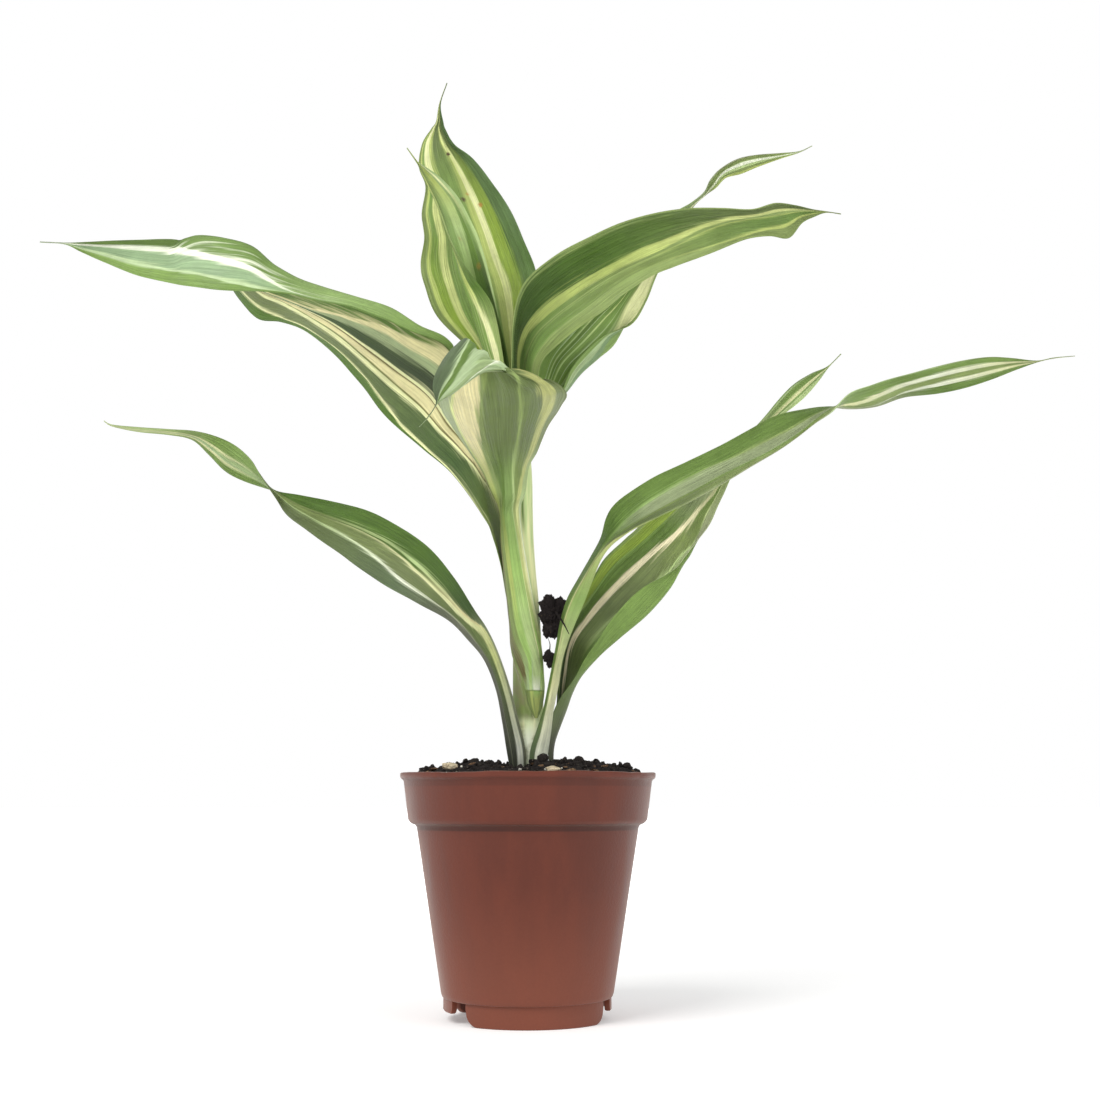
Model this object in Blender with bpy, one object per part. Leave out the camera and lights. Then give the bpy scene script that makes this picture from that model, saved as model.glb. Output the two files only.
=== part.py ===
"""A young variegated lucky bamboo in a 76 mm nursery pot: metres, +Z up.

The pot's foot stands on z = 0. The leaves are drawn over a front view. Each rail point of a leaf is
(across, down, depth): where it shows in that square view, in view units, and how far it lies behind
the pot's axis, in millimetres. The view's own constants turn it into a place in metres.
"""

import math

import bmesh
import bpy
import numpy as np
from mathutils import Vector, noise

MM = 0.001
GAP = 0.3

# The front view that the leaves are drawn over: the eye, its distance, and how far it looks up
VIEW_CENTRE = 550.0
VIEW_FOCAL = 1528.0
EYE_RIGHT = 6.6
EYE_DISTANCE = 463.0
EYE_HEIGHT = 63.0
EYE_PITCH = math.radians(9.3)

# Where the pot's axis stands, so that the whole plant's box is centred on the origin
POT_X = -3.15
POT_Y = 20.2

# Pot, in mm: heights above the foot's underside and radii from its axis
POT_HEIGHT = 71.0
LIP_RADIUS = 38.1
LIP_DROP = 1.5
BAND_TOP_RADIUS = 37.1
BAND_FOOT_RADIUS = 35.6
BAND_FOOT_Z = 56.3
BODY_TOP_RADIUS = 33.2
BODY_FOOT_RADIUS = 25.3
BODY_FOOT_Z = 7.0
WALL = 1.2
FLOOR_Z = 6.3
POT_SIDES = 48

# Feet under the floor, in mm and degrees: broad ones at the front and back, short teeth at the sides.
# Each kind is given for one side, and stands again half a turn round.
FOOT_RADIUS = 24.0
FOOT_WALL = 1.6
FOOT_CORNER = 4.5
FOOT_SPAN = (-46, 66)
TOOTH_RADIUS = 24.6
TOOTH_LIFT = 2.8
TOOTH_CORNER = 1.2
TOOTH_SPANS = ((76, 98), (99.2, 120))
DRAINS = 6
DRAIN_RADIUS = 2.4
DRAIN_RING = 17.5
DRAIN_TURN = 0.58

# Potting mix, in mm
SOIL_RIM_Z = 69.5
SOIL_DOME = 4.3
SOIL_LUMP = 1.1
COARSE_LUMPS = 0.15
FINE_LUMPS = 0.3
SOIL_RINGS = 8
SOIL_CLEAR = 0.4
HOLE_X = 1.1
HOLE_Y = -1.2
HOLE_RADIUS = 9.0

# A hollow in the mix in front of the stem's foot: its middle, half widths and depth
HOLLOW_X = -4.0
HOLLOW_Y = -14.0
HOLLOW_WIDTH = 4.5
HOLLOW_LENGTH = 12.0
HOLLOW_DEPTH = 3.2

# Leaves, in mm
LEAF_THICKNESS = 0.7
TIP_HALF_WIDTH = 0.35

# Stem: (across, down, depth, radius) along its centre line, up from inside the mix
STEM = (
    (530, 850, 0, 4.4),
    (530, 800, 0, 5.0),
    (530, 765, 0, 5.0),
    (529, 738, 0, 4.8),
    (528, 700, 0, 4.6),
    (527.5, 660, 0, 4.4),
    (527, 629, 0, 4.15),
    (524.5, 600, 0, 4.3),
    (521.5, 572, 0, 4.4),
    (519, 540, 0, 4.5),
    (518, 510, 0, 4.55),
    (518, 480, 0, 4.4),
    (517.5, 450, 0, 3.9),
    (517, 425, 0, 3.2),
)
STEM_SIDES = 16
STEM_STEPS = 34

# Where leaves clasp the stem: (down, first rail's bearing, last rail's), in degrees from the front.
# The crown leaf's sheath starts as a point low on the stem and opens to a split tube.
CROWN_SHEATH = (
    (719, 20, 30),
    (707, 3, 50),
    (690, -9, 66),
    (676, -24, 66),
    (660, -74, 62),
    (642, -110, 52),
    (620, -118, 40),
    (600, -118, 30),
    (572, -118, 22),
    (540, -116, 13),
    (514, -112, 9),
)
TOP_SHEATH = ((434, 150, 214),)
UPPER_RIGHT_SHEATH = ((434, 60, 130),)
BEHIND_RIGHT_SHEATH = ((464, 64, 146),)
SHEATH_CLEAR = 0.95

# Leaf rails, from the base to the tip; a row of one point is the fine point or its hair
UPPER_LEFT = (
    ((500.5, 572, -1), (499, 568, 2), (499, 564, 5), (501, 560, 7)),
    ((494, 540, -1), (492, 528, 2), (494, 516, 6), (499, 508, 9)),
    ((480, 512, -1), (482, 480, 0), (482, 452, 6), (488, 440, 9)),
    ((452, 474, 3), (468, 442, 0), (474, 396, 3), (476, 388, 7)),
    ((424, 450, 6), (450, 416, 0), (462, 366, -2), (462, 362, 1)),
    ((398, 428, 9), (432, 388, 1), (446, 342, -6), (440, 342, -9)),
    ((381, 411, 11), (400, 364, 1), (419, 328, -9), (411, 331, -13)),
    ((361, 384, 12), (368, 342, 1), (390, 309, -10), (381, 318, -15)),
    ((337, 357, 12), (337, 322, 1), (357, 298, -11), (350, 307, -16)),
    ((307, 332, 12), (309, 309, 1), (325, 288, -11), (318, 301, -17)),
    ((281, 322, 11), (284, 300, 1), (299, 279, -11), (290, 294, -17)),
    ((258, 319, 10), (262, 292, 0), (274, 265, -11), (267, 292, -18)),
    ((240, 300, 7), (243, 276, -2), (252, 247, -11), (245, 291, -18)),
    ((222, 274, 3), (223, 255, -4), (226, 240, -11), (220, 290, -18)),
    ((198, 252, -2), (199, 244, -6), (200, 238, -10), (195, 287, -17)),
    ((185, 244, -5), (185, 241.5, -7.5), (185, 239, -10), (181, 285, -16.5)),
    ((172, 239, -8), (171, 244, -9), (170, 252, -11), (167, 282, -16)),
    ((139, 240, -10), (138, 244, -11), (137, 251, -12), (136, 275, -15)),
    ((106, 241, -11), (106, 244, -12), (105, 248, -12), (104, 262, -14)),
    ((84, 242, -13), (84, 243.5, -13), (83, 246, -13), (81, 252, -13)),
    ((65, 243.5, -13),),
    ((40, 242, -13),),
)
LOWER_LEFT = (
    ((526, 772, -5.9), (519, 774, -7), (511, 776, -5.5)),
    ((525, 748, -6), (517, 750, -7.4), (507, 752, -5.5)),
    ((518, 717, -7), (511, 722, -8.4), (502, 722, -6.5)),
    ((510, 687, -8.5), (503, 691, -10.2), (496, 690, -8.3)),
    ((498, 652, -11), (492, 660, -13), (484, 660, -11)),
    ((486, 627, -12), (478, 639, -14), (468, 640, -11)),
    ((472, 606, -15), (462, 615, -14), (447, 620, -11)),
    ((454, 577, -18), (442, 590, -16), (420, 604, -12)),
    ((428, 547, -21), (415, 565, -18), (391, 589, -13)),
    ((398, 526, -23), (384, 546, -20), (362, 570, -15)),
    ((366, 510, -25), (352, 532, -22), (335, 550, -17)),
    ((330, 501, -26), (320, 518, -24), (306, 530, -20)),
    ((300, 495, -26), (295, 506, -26), (286, 514, -23)),
    ((281, 492, -25), (278, 494, -27), (275, 497, -29)),
    ((264, 488, -25), (262, 481, -28), (259, 473, -31)),
    ((243, 481, -26), (246, 470, -29), (250, 459, -32)),
    ((225, 471, -27), (229, 459, -30), (236, 446, -32)),
    ((209, 455, -28), (213, 446, -31), (218, 437, -32)),
    ((192, 440, -30), (194, 436, -31), (195, 431, -32)),
    ((168, 435, -31), (168, 432, -31), (168, 429, -31)),
    ((138, 432, -31), (138, 430, -31), (138, 427, -31)),
    ((112, 425.5, -31),),
    ((104, 421, -31),),
)
TOP = (
    ((521, 412, 5.4), (514, 412, 6.8), (507, 412, 5.2)),
    ((519, 385, 5), (511, 385, 8), (494, 384, 5)),
    ((522, 360, 6), (511, 360, 10), (474, 354, 5)),
    ((533, 316, 7), (506, 312, 12), (437, 316, 5)),
    ((537, 288, 7), (500, 285, 14), (424, 284, 6)),
    ((534, 266, 8), (492, 260, 15), (421, 262, 7)),
    ((524, 240, 9), (484, 234, 16), (424, 238, 8)),
    ((512, 214, 10), (474, 208, 16), (422, 214, 9)),
    ((495, 186, 11), (464, 182, 16), (425, 188, 10)),
    ((474, 160, 12), (453, 158, 15), (419, 166, 11)),
    ((455, 145, 12), (445, 142, 14), (422, 144, 12)),
    ((446, 130, 13), (440, 129, 14), (431, 129, 12)),
    ((437, 119, 13),),
    ((440, 104, 12),),
    ((447, 83, 10),),
)
YOUNG = (
    ((522, 420, 0.5), (516, 420, 2.4), (510, 420, 0), (516, 420, -2.4)),
    ((512, 402, 1), (506, 402, 2.5), (501, 402, 0), (506, 402, -2.5)),
    ((511, 380, 1), (504, 379, 3.5), (493, 376, 0), (506, 379, -3.5)),
    ((507, 352, 0.5), (496, 351, 4), (482, 346, -1), (502, 350, -4.5)),
    ((501, 326, 0), (488, 324, 4), (474, 320, -1), (497, 322, -5)),
    ((496, 304, 0), (482, 303, 4), (468, 301, -2), (490, 300, -6)),
    ((490, 277, 0), (475, 277, 4), (461, 279, -2), (473, 277, -6)),
    ((482, 248, 0), (468, 251, 4), (456, 255, -2), (459, 256, -5)),
    ((472, 223, 1), (460, 229, 4), (449, 233, -1), (447, 231, -3)),
    ((458, 197, 2), (449, 204, 4), (440, 209, 1), (438, 206, -1)),
    ((441, 178, 3), (435, 184, 4), (430, 188, 2), (428, 185, 1)),
    ((426, 167, 3), (424, 170, 4), (422, 173, 3), (421, 171, 3)),
    ((417, 162, 3),),
    ((407, 148, 3),),
)
UPPER_RIGHT = (
    ((535, 412, -0.5), (531, 412, 3), (525, 411, 3)),
    ((537, 388, -2), (523, 388, 4), (512, 386, -2)),
    ((542, 362, -4), (519, 362, 4), (512, 356, -4)),
    ((560, 343, -6), (524, 334, 4), (513, 324, -5)),
    ((582, 326, -8), (538, 314, 4), (518, 296, -5)),
    ((604, 310, -9), (557, 297, 3), (530, 276, -5)),
    ((628, 291, -10), (582, 280, 2), (556, 255, -5)),
    ((650, 277, -10), (610, 264, 1), (587, 238, -6)),
    ((676, 266, -11), (641, 249, -1), (620, 223, -6)),
    ((702, 256.5, -12), (673, 237, -3), (655, 213, -7)),
    ((727, 246.5, -12), (704, 228, -6), (690, 208, -8)),
    ((750, 238.5, -13), (733, 223, -9), (723, 208, -9)),
    ((770, 236, -14), (760, 221, -11), (752, 209, -10)),
    ((789, 238, -15), (782, 217, -12), (775, 203, -11)),
    ((802, 223, -14), (799, 213, -12), (795, 205, -12)),
    ((814, 217, -13), (813, 212, -12), (812, 209, -12)),
    ((826, 212, -12),),
    ((841, 214, -12),),
)
BEHIND_RIGHT = (
    ((540, 437, 1.5), (542, 436, 4), (538, 434, 6.5), (531, 432, 7)),
    ((550, 410, 5), (548, 410, 6.5), (540, 410, 8), (533, 408, 6)),
    ((562, 390, 5), (566, 391, 7), (550, 384, 10), (538, 376, 7)),
    ((571, 369, 5), (581, 373, 7), (560, 362, 12), (546, 350, 8)),
    ((587, 350, 5), (598, 358, 7), (580, 341, 13), (562, 328, 9)),
    ((607, 334, 6), (615, 342, 8), (602, 317, 14), (585, 303, 10)),
    ((631, 325, 7), (629, 311, 12), (621, 296, 15), (608, 282, 11)),
    ((646, 302, 9), (643, 288, 13), (636, 274, 15), (625, 262, 12)),
    ((656, 277, 10), (654, 264, 13.5), (650, 252, 15), (643, 242, 12)),
    ((671, 248, 12), (669, 240, 14.5), (665, 232, 15), (660, 225, 12)),
    ((684, 224, 14.5), (683, 220, 14.8), (680, 215, 13.5), (677, 211, 11)),
    ((694, 206, 16), (693, 205, 14), (692, 204, 12), (691, 203, 10)),
    ((706, 195, 15), (705, 195, 14), (704, 194, 13), (704, 192, 11)),
    ((716, 188, 14), (714, 186, 14), (712, 183, 13), (710, 180, 12)),
    ((726, 178, 13), (724, 175, 13), (722, 171, 12), (720, 169, 11)),
    ((741, 174, 12), (740, 169, 12), (738, 163, 11), (737, 159, 10)),
    ((758, 167, 11), (757, 163, 11), (756, 158, 10), (755, 155, 10)),
    ((780, 159, 9), (780, 157, 9), (780, 155, 9), (780, 153, 9)),
    ((799, 152, 8),),
    ((812, 146, 8),),
)
CROWN_FRONT = (
    ((492, 492, -3), (496, 491, -7), (506, 491, -9), (519, 491, -8), (525, 491, -5.5)),
    ((482, 471, -6), (489, 470, -11), (504, 470, -14), (519, 468, -13), (529, 467, -9)),
    ((468, 450, -12), (480, 451, -19), (501, 452, -22), (523, 450, -20), (537, 452, -14)),
    ((453, 428, -22), (470, 429, -30), (499, 431, -33), (527, 429, -31), (547, 428, -22)),
    ((441, 408, -33), (463, 407, -41), (497, 409, -44), (533, 407, -42), (560, 408, -31)),
    ((440, 390, -44), (458, 383, -51), (494, 388, -54), (532, 390, -52), (567, 394, -41)),
    ((450, 364, -55), (462, 354, -60), (488, 364, -62), (520, 378, -60), (552, 380, -50)),
    ((458, 343, -63), (467, 339, -66), (479, 351, -67), (496, 366, -66), (516, 374, -60)),
    ((445, 357, -70), (454, 356, -72), (464, 364, -73), (475, 372, -72), (488, 371, -68)),
    ((435, 375, -75), (441, 376, -76), (449, 381, -76), (458, 386, -76), (466, 384, -73)),
    ((433, 390, -77), (437, 391, -77.5), (441, 393, -78), (446, 396, -78), (450, 396, -77)),
    ((437, 403, -78),),
    ((429, 416, -78),),
    ((419, 427, -78),),
)
LOWER_RIGHT = (
    ((529, 772, -6), (537, 774, -7.2), (545, 774, -5.5)),
    ((530, 752, -6.2), (539, 752, -7.8), (548, 752, -6)),
    ((536, 732, -6.6), (544, 732, -8.6), (551, 732, -6.5)),
    ((543, 710, -6.5), (548, 709, -9), (554, 708, -7)),
    ((548, 686, -7), (553, 684, -10), (559, 683, -8)),
    ((552, 666, -8), (557, 663, -11), (562, 662, -9)),
    ((556, 645, -9), (562, 642, -12.5), (568, 642, -10)),
    ((560, 622, -10), (567, 622, -14), (575, 624, -11)),
    ((567, 599, -12), (576, 600, -16.5), (584, 603, -13)),
    ((579, 577, -15), (586, 578, -20), (592, 582, -15.5)),
    ((591, 556, -19), (597, 557, -24), (601, 560, -18)),
    ((601, 537, -21), (608, 540, -26), (612, 545, -20)),
    ((606, 518, -25), (620, 527, -28), (628, 533, -22)),
    ((614, 505, -27), (632, 517, -29), (642, 525, -23)),
    ((630, 492, -28), (649, 505, -30), (661, 516, -24)),
    ((656, 476, -29), (674, 490, -31), (688, 503, -25)),
    ((686, 462, -30), (703, 475, -32), (716, 488, -27)),
    ((718, 447, -30), (733, 460, -32), (745, 470, -28)),
    ((748, 430, -31), (762, 442, -33), (772, 455, -29)),
    ((778, 415, -31), (789, 427, -33), (798, 437, -31)),
    ((806, 409, -30), (811, 415, -33), (816, 423, -34)),
    ((829, 407, -28), (830, 409, -33), (831, 413, -38)),
    ((849, 409, -29), (850, 401, -34), (850, 393, -39)),
    ((878, 406, -31), (876, 395, -36), (874, 384, -40)),
    ((906, 397, -33), (903, 386, -37), (901, 376, -40)),
    ((937, 394, -35), (935, 380, -38), (932, 368, -41)),
    ((965, 388, -37), (962, 374, -39), (960, 361, -41)),
    ((993, 379, -38), (990, 368, -40), (988, 357, -41)),
    ((1016, 370, -39), (1014, 364, -40), (1012, 358, -41)),
    ((1037, 361.5, -40),),
    ((1054, 358, -40),),
    ((1075, 356, -40),),
)
RIGHT_BROAD = (
    ((550.5, 774, -1.5), (553, 775, -0.5), (553, 775, 0.8), (550.5, 774, 2)),
    ((548, 745, -2), (553, 745, -0.5), (554, 745, 1), (551, 745, 3)),
    ((553, 712, -3), (566, 708, 0), (563, 713, 4), (556, 712, 4)),
    ((573, 680, -4), (579, 679, 0), (568, 680, 6), (558, 676, 4)),
    ((588, 656, -4), (599, 655, 0), (574, 646, 7), (563, 640, 3)),
    ((604, 630, -5), (621, 636, -1), (590, 620, 7), (574, 611, 2)),
    ((624, 605, -6), (648, 613, -2), (609, 596, 6), (589, 585, 1)),
    ((645, 586, -6), (670, 587, -3), (628, 577, 5), (603, 561, 0)),
    ((672, 570, -7), (685, 562, -3), (650, 556, 4), (623, 541, -1)),
    ((690, 553, -7.5), (692, 549, -3), (662, 545, 4), (634, 531, -1.5)),
    ((699, 540, -7.5), (688, 538, -1), (669, 532, 3.5), (645, 520, -2)),
    ((712, 518, -7.5), (704, 515, -2.5), (690, 511, 1.5), (668, 499, -3)),
    ((723, 495, -7.5), (716, 492, -3.5), (706, 487, -0.5), (691, 478, -3)),
    ((732, 476, -8), (727, 473, -5), (720, 468, -3), (712, 461, -4)),
    ((748, 455, -8), (745, 452, -6.5), (740, 448, -5), (735, 444, -5)),
    ((763, 436, -9), (760, 434, -7.5), (757, 431, -6.5), (753, 429, -6)),
    ((777, 420, -9), (774, 418, -8), (770, 416, -7.3), (766, 415, -7)),
    ((793, 404, -10), (790, 401, -9), (786, 400, -8), (782, 400, -8)),
    ((805, 391, -10), (803, 389, -9), (800, 387, -9), (797, 386, -9)),
    ((817, 380, -10), (816, 378, -10), (815, 376, -10), (813, 375, -10)),
    ((828, 367, -10),),
    ((841, 354, -10),),
)

# How far back each leaf's tip leans, beyond its drawn depths, in mm
LEANS = {
    "leaf_top": 12.0,
    "leaf_young": 5.0,
    "leaf_upper_right": -10.0,
    "leaf_behind_right": 22.0,
    "leaf_right_broad": 16.0,
}

# How far a rough lump's surface swells and shrinks, as a share of its size
LUMP_SWELL = 0.28

# Mix lodged between the stem and a leaf: (across, down, depth), half sizes in mm, seed
CLUMPS = {
    "mix_clump_large": ((553.5, 616, -5.2), (4.6, 4.9, 6.4), 3),
    "mix_clump_small": ((549, 658, -5), (2.0, 2.5, 3.0), 8),
}

# Bark lying on the mix: (across, depth), half sizes in mm, seed
CHIP_LIFT = 0.5
CHIP_VIEW_DOWN = 768
CHIPS = {
    "bark_chip_left": ((449, -22.5), (2.5, 1.9, 1.2), 5),
    "bark_chip_front": ((553, -32), (2.5, 1.8, 1.1), 11),
}

COLOURS = {
    "pot": ((0.19, 0.065, 0.035), 0.42),
    "soil": ((0.018, 0.013, 0.011), 0.95),
    "stem": ((0.30, 0.45, 0.14), 0.45),
    "leaf": ((0.12, 0.28, 0.05), 0.4),
    "chip": ((0.36, 0.27, 0.16), 0.9),
}


def clear_scene():
    for item in list(bpy.data.objects):
        bpy.data.objects.remove(item, do_unlink=True)


def finish_of(name):
    colour, roughness = COLOURS[name]
    material = bpy.data.materials.new(name)
    material.use_nodes = True
    shader = material.node_tree.nodes["Principled BSDF"]
    shader.inputs["Base Color"].default_value = (*colour, 1.0)
    shader.inputs["Roughness"].default_value = roughness
    material.diffuse_color = (*colour, 1.0)
    return material


def sight(across, down, depth):
    """The place, in mm from the pot's axis on the ground, that shows there in the front view."""
    right = (across - VIEW_CENTRE) / VIEW_FOCAL
    up = (VIEW_CENTRE - down) / VIEW_FOCAL
    away = math.cos(EYE_PITCH) - up * math.sin(EYE_PITCH)
    rise = math.sin(EYE_PITCH) + up * math.cos(EYE_PITCH)
    reach = (depth + EYE_DISTANCE) / away
    return (EYE_RIGHT + right * reach, depth, EYE_HEIGHT + rise * reach)


def placed(point):
    """A place in mm from the pot's axis, in metres from the origin."""
    return Vector(((point[0] + POT_X) * MM, (point[1] + POT_Y) * MM, point[2] * MM))


def spline(points, params):
    """Catmull-Rom values of a list of points, or of rows of points, at places counted in points."""
    points = np.asarray(points, float)
    padded = np.concatenate([2 * points[:1] - points[1:2], points, 2 * points[-1:] - points[-2:-1]])
    out = []
    for param in params:
        i = min(int(param), len(points) - 2)
        t = param - i
        p0, p1, p2, p3 = padded[i : i + 4]
        out.append(
            0.5 * (2 * p1 + (p2 - p0) * t + (2 * p0 - 5 * p1 + 4 * p2 - p3) * t**2
                   + (3 * p1 - p0 - 3 * p2 + p3) * t**3)
        )
    return np.array(out)


def even_params(points, count):
    """Places along a list of points, counted in points, that lie about evenly along its length."""
    steps = np.linalg.norm(np.diff(points, axis=0), axis=1)
    travelled = np.concatenate([[0], np.cumsum(steps)])
    return np.interp(np.linspace(0, travelled[-1], count), travelled, np.arange(len(points)))


def new_object(name, vertices, faces, material, smooth_angle=50):
    mesh = bpy.data.meshes.new(name)
    mesh.from_pydata([placed(v) for v in vertices], [], faces)
    mesh.materials.append(material)
    mesh.shade_smooth()
    mesh.set_sharp_from_angle(angle=math.radians(smooth_angle))
    item = bpy.data.objects.new(name, mesh)
    bpy.context.collection.objects.link(item)
    return item


def rails_of(rows, lean=0.0):
    """Rail points in mm. The tip leans back by that much, and the base not at all.

    A row of one point gets its rails side by side, along the last full row.
    """
    count = len(rows[0])
    rails = []
    for number, row in enumerate(rows):
        back = lean * (number / (len(rows) - 1)) ** 1.5
        points = [sight(across, down, depth + back) for across, down, depth in row]
        if len(row) > 1:
            rails.append(points)
            continue
        side = np.array(rails[-1][-1]) - np.array(rails[-1][0])
        side *= TIP_HALF_WIDTH / np.linalg.norm(side)
        rails.append([np.array(points[0]) + side * (2 * k / (count - 1) - 1) for k in range(count)])
    return np.array(rails)


def blade(name, rails, along, across, material):
    """A leaf as one thin closed solid through its rails, cut into triangles alike on both faces."""
    middle = rails.mean(axis=1)
    rows = spline(rails, even_params(middle, along))
    grid = spline(rows.swapaxes(0, 1), np.linspace(0, rails.shape[1] - 1, across)).swapaxes(0, 1)
    normals = np.cross(np.gradient(grid, axis=0), np.gradient(grid, axis=1))
    normals /= np.linalg.norm(normals, axis=2, keepdims=True)
    half = normals * LEAF_THICKNESS / 2
    vertices = [*(grid + half).reshape(-1, 3), *(grid - half).reshape(-1, 3)]
    back = along * across
    faces = []
    for i in range(along - 1):
        for j in range(across - 1):
            a, b = i * across + j, i * across + j + 1
            c, d = b + across, a + across
            for p, q, r in ((a, d, c), (a, c, b)):
                faces.append((p, q, r))
                faces.append((back + r, back + q, back + p))
    rim = list(range(across))
    rim += [i * across + across - 1 for i in range(1, along)]
    rim += [(along - 1) * across + j for j in range(across - 2, -1, -1)]
    rim += [i * across for i in range(along - 2, 0, -1)]
    for p, q in zip(rim, rim[1:] + rim[:1]):
        faces.append((p, q, back + q))
        faces.append((p, back + q, back + p))
    return new_object(name, vertices, faces, material)


def stem_at(down):
    """The stem's centre and radius where it shows at that height in the view."""
    rows = np.array(STEM, float)
    order = np.argsort(rows[:, 1])
    across, depth, radius = (np.interp(down, rows[order, 1], rows[order, k]) for k in (0, 2, 3))
    return np.array(sight(across, down, depth)), radius


def clasping(sheath, drawn, lean=0.0):
    """A leaf's rails: rows that follow the stem's own shape, and then the drawn ones."""
    rails = rails_of(drawn, lean)
    rows = []
    for down, first, last in sheath:
        centre, radius = stem_at(down)
        angles = np.radians(np.linspace(first, last, rails.shape[1]))
        outward = np.stack([np.sin(angles), -np.cos(angles), np.zeros_like(angles)], axis=1)
        rows.append(centre + (radius + SHEATH_CLEAR) * outward)
    return np.concatenate([np.array(rows), rails])


def make_leaves(material):
    drawn = {
        "leaf_upper_left": (rails_of(UPPER_LEFT), 40, 8),
        "leaf_lower_left": (rails_of(LOWER_LEFT), 34, 5),
        "leaf_top": (clasping(TOP_SHEATH, TOP, LEANS["leaf_top"]), 28, 6),
        "leaf_young": (rails_of(YOUNG, LEANS["leaf_young"]), 24, 7),
        "leaf_upper_right": (
            clasping(UPPER_RIGHT_SHEATH, UPPER_RIGHT, LEANS["leaf_upper_right"]), 34, 6
        ),
        "leaf_behind_right": (
            clasping(BEHIND_RIGHT_SHEATH, BEHIND_RIGHT, LEANS["leaf_behind_right"]), 34, 7
        ),
        "leaf_crown_front": (clasping(CROWN_SHEATH, CROWN_FRONT), 44, 8),
        "leaf_lower_right": (rails_of(LOWER_RIGHT), 42, 5),
        "leaf_right_broad": (rails_of(RIGHT_BROAD, LEANS["leaf_right_broad"]), 34, 7),
    }
    for name, (rails, along, across) in drawn.items():
        blade(name, rails, along, across, material)


def make_stem(material):
    """The cane and its shoot as one tapering round solid along the stem's centre line."""
    rows = np.array(STEM, float)
    centres = np.array([sight(*row[:3]) for row in rows])
    params = even_params(centres, STEM_STEPS)
    path = spline(centres, params)
    radii = spline(rows[:, 3:], params)[:, 0]
    vertices = []
    for centre, radius in zip(path, radii):
        for k in range(STEM_SIDES):
            angle = 2 * math.pi * k / STEM_SIDES
            vertices.append(centre + radius * np.array((math.cos(angle), math.sin(angle), 0.0)))
    faces = [tuple(reversed(range(STEM_SIDES)))]
    for i in range(STEM_STEPS - 1):
        for k in range(STEM_SIDES):
            a, b = i * STEM_SIDES + k, i * STEM_SIDES + (k + 1) % STEM_SIDES
            faces.append((a, b, b + STEM_SIDES, a + STEM_SIDES))
    last = (STEM_STEPS - 1) * STEM_SIDES
    faces.append(tuple(range(last, last + STEM_SIDES)))
    return new_object("stem", vertices, faces, material)


def pot_wall_radius(z):
    """The outer radius of the tapering body at a height."""
    share = (z - BODY_FOOT_Z) / (BAND_FOOT_Z - BODY_FOOT_Z)
    return BODY_FOOT_RADIUS + share * (BODY_TOP_RADIUS - BODY_FOOT_RADIUS)


def pot_inside():
    """The pot's inner wall, as (radius, height) points from the brim down to the floor."""
    return [
        (BAND_TOP_RADIUS - WALL, POT_HEIGHT),
        (BAND_FOOT_RADIUS - WALL, BAND_FOOT_Z + 1.6),
        (pot_wall_radius(BAND_FOOT_Z - 2) - WALL, BAND_FOOT_Z - 2.0),
        (BODY_FOOT_RADIUS - WALL, FLOOR_Z + WALL + 0.8),
        (BODY_FOOT_RADIUS - WALL - 0.8, FLOOR_Z + WALL),
    ]


def turned_span(span, turn):
    return (span[0] + turn, span[1] + turn)


def turned(name, profile, sides, material):
    """A closed solid turned from an outline of (radius, height) points that starts and ends on the axis."""
    ring = profile[1:-1]
    vertices = [(0.0, 0.0, profile[0][1])]
    for radius, height in ring:
        for k in range(sides):
            angle = 2 * math.pi * k / sides
            vertices.append((radius * math.cos(angle), radius * math.sin(angle), height))
    vertices.append((0.0, 0.0, profile[-1][1]))
    end = len(vertices) - 1
    faces = []
    for k in range(sides):
        after = (k + 1) % sides
        faces.append((0, 1 + after, 1 + k))
        last = 1 + (len(ring) - 1) * sides
        faces.append((end, last + k, last + after))
        for i in range(len(ring) - 1):
            a, b = 1 + i * sides + k, 1 + i * sides + after
            faces.append((a, b, b + sides, a + sides))
    return new_object(name, vertices, faces, material, 35)


def ring_segment(name, span, radius, low, corner, material):
    """A foot: a piece of a ring between two bearings, with its lower corners rounded off."""
    start, end = (math.radians(bearing) for bearing in span)
    steps = max(3, math.ceil((span[1] - span[0]) / 6))
    high = FLOOR_Z + WALL / 2
    inner = radius - FOOT_WALL
    vertices = []
    for k in range(steps + 1):
        angle = start + (end - start) * k / steps
        inward = max(0.0, corner - radius * min(angle - start, end - angle))
        foot = low + corner - math.sqrt(corner**2 - inward**2)
        for around, height in ((inner, foot), (radius, foot), (radius, high), (inner, high)):
            vertices.append((around * math.sin(angle), -around * math.cos(angle), height))
    faces = [(3, 2, 1, 0), tuple(4 * steps + j for j in range(4))]
    for k in range(steps):
        for j in range(4):
            a, b = 4 * k + j, 4 * k + (j + 1) % 4
            faces.append((a, b, b + 4, a + 4))
    return new_object(name, vertices, faces, material)


def apply_boolean(target, other, operation):
    modifier = target.modifiers.new(operation.lower(), "BOOLEAN")
    modifier.operation = operation
    modifier.object = other
    bpy.context.view_layer.update()
    evaluated = target.evaluated_get(bpy.context.evaluated_depsgraph_get())
    mesh = bpy.data.meshes.new_from_object(evaluated)
    target.modifiers.remove(modifier)
    target.data = mesh
    bpy.data.objects.remove(other, do_unlink=True)


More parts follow.
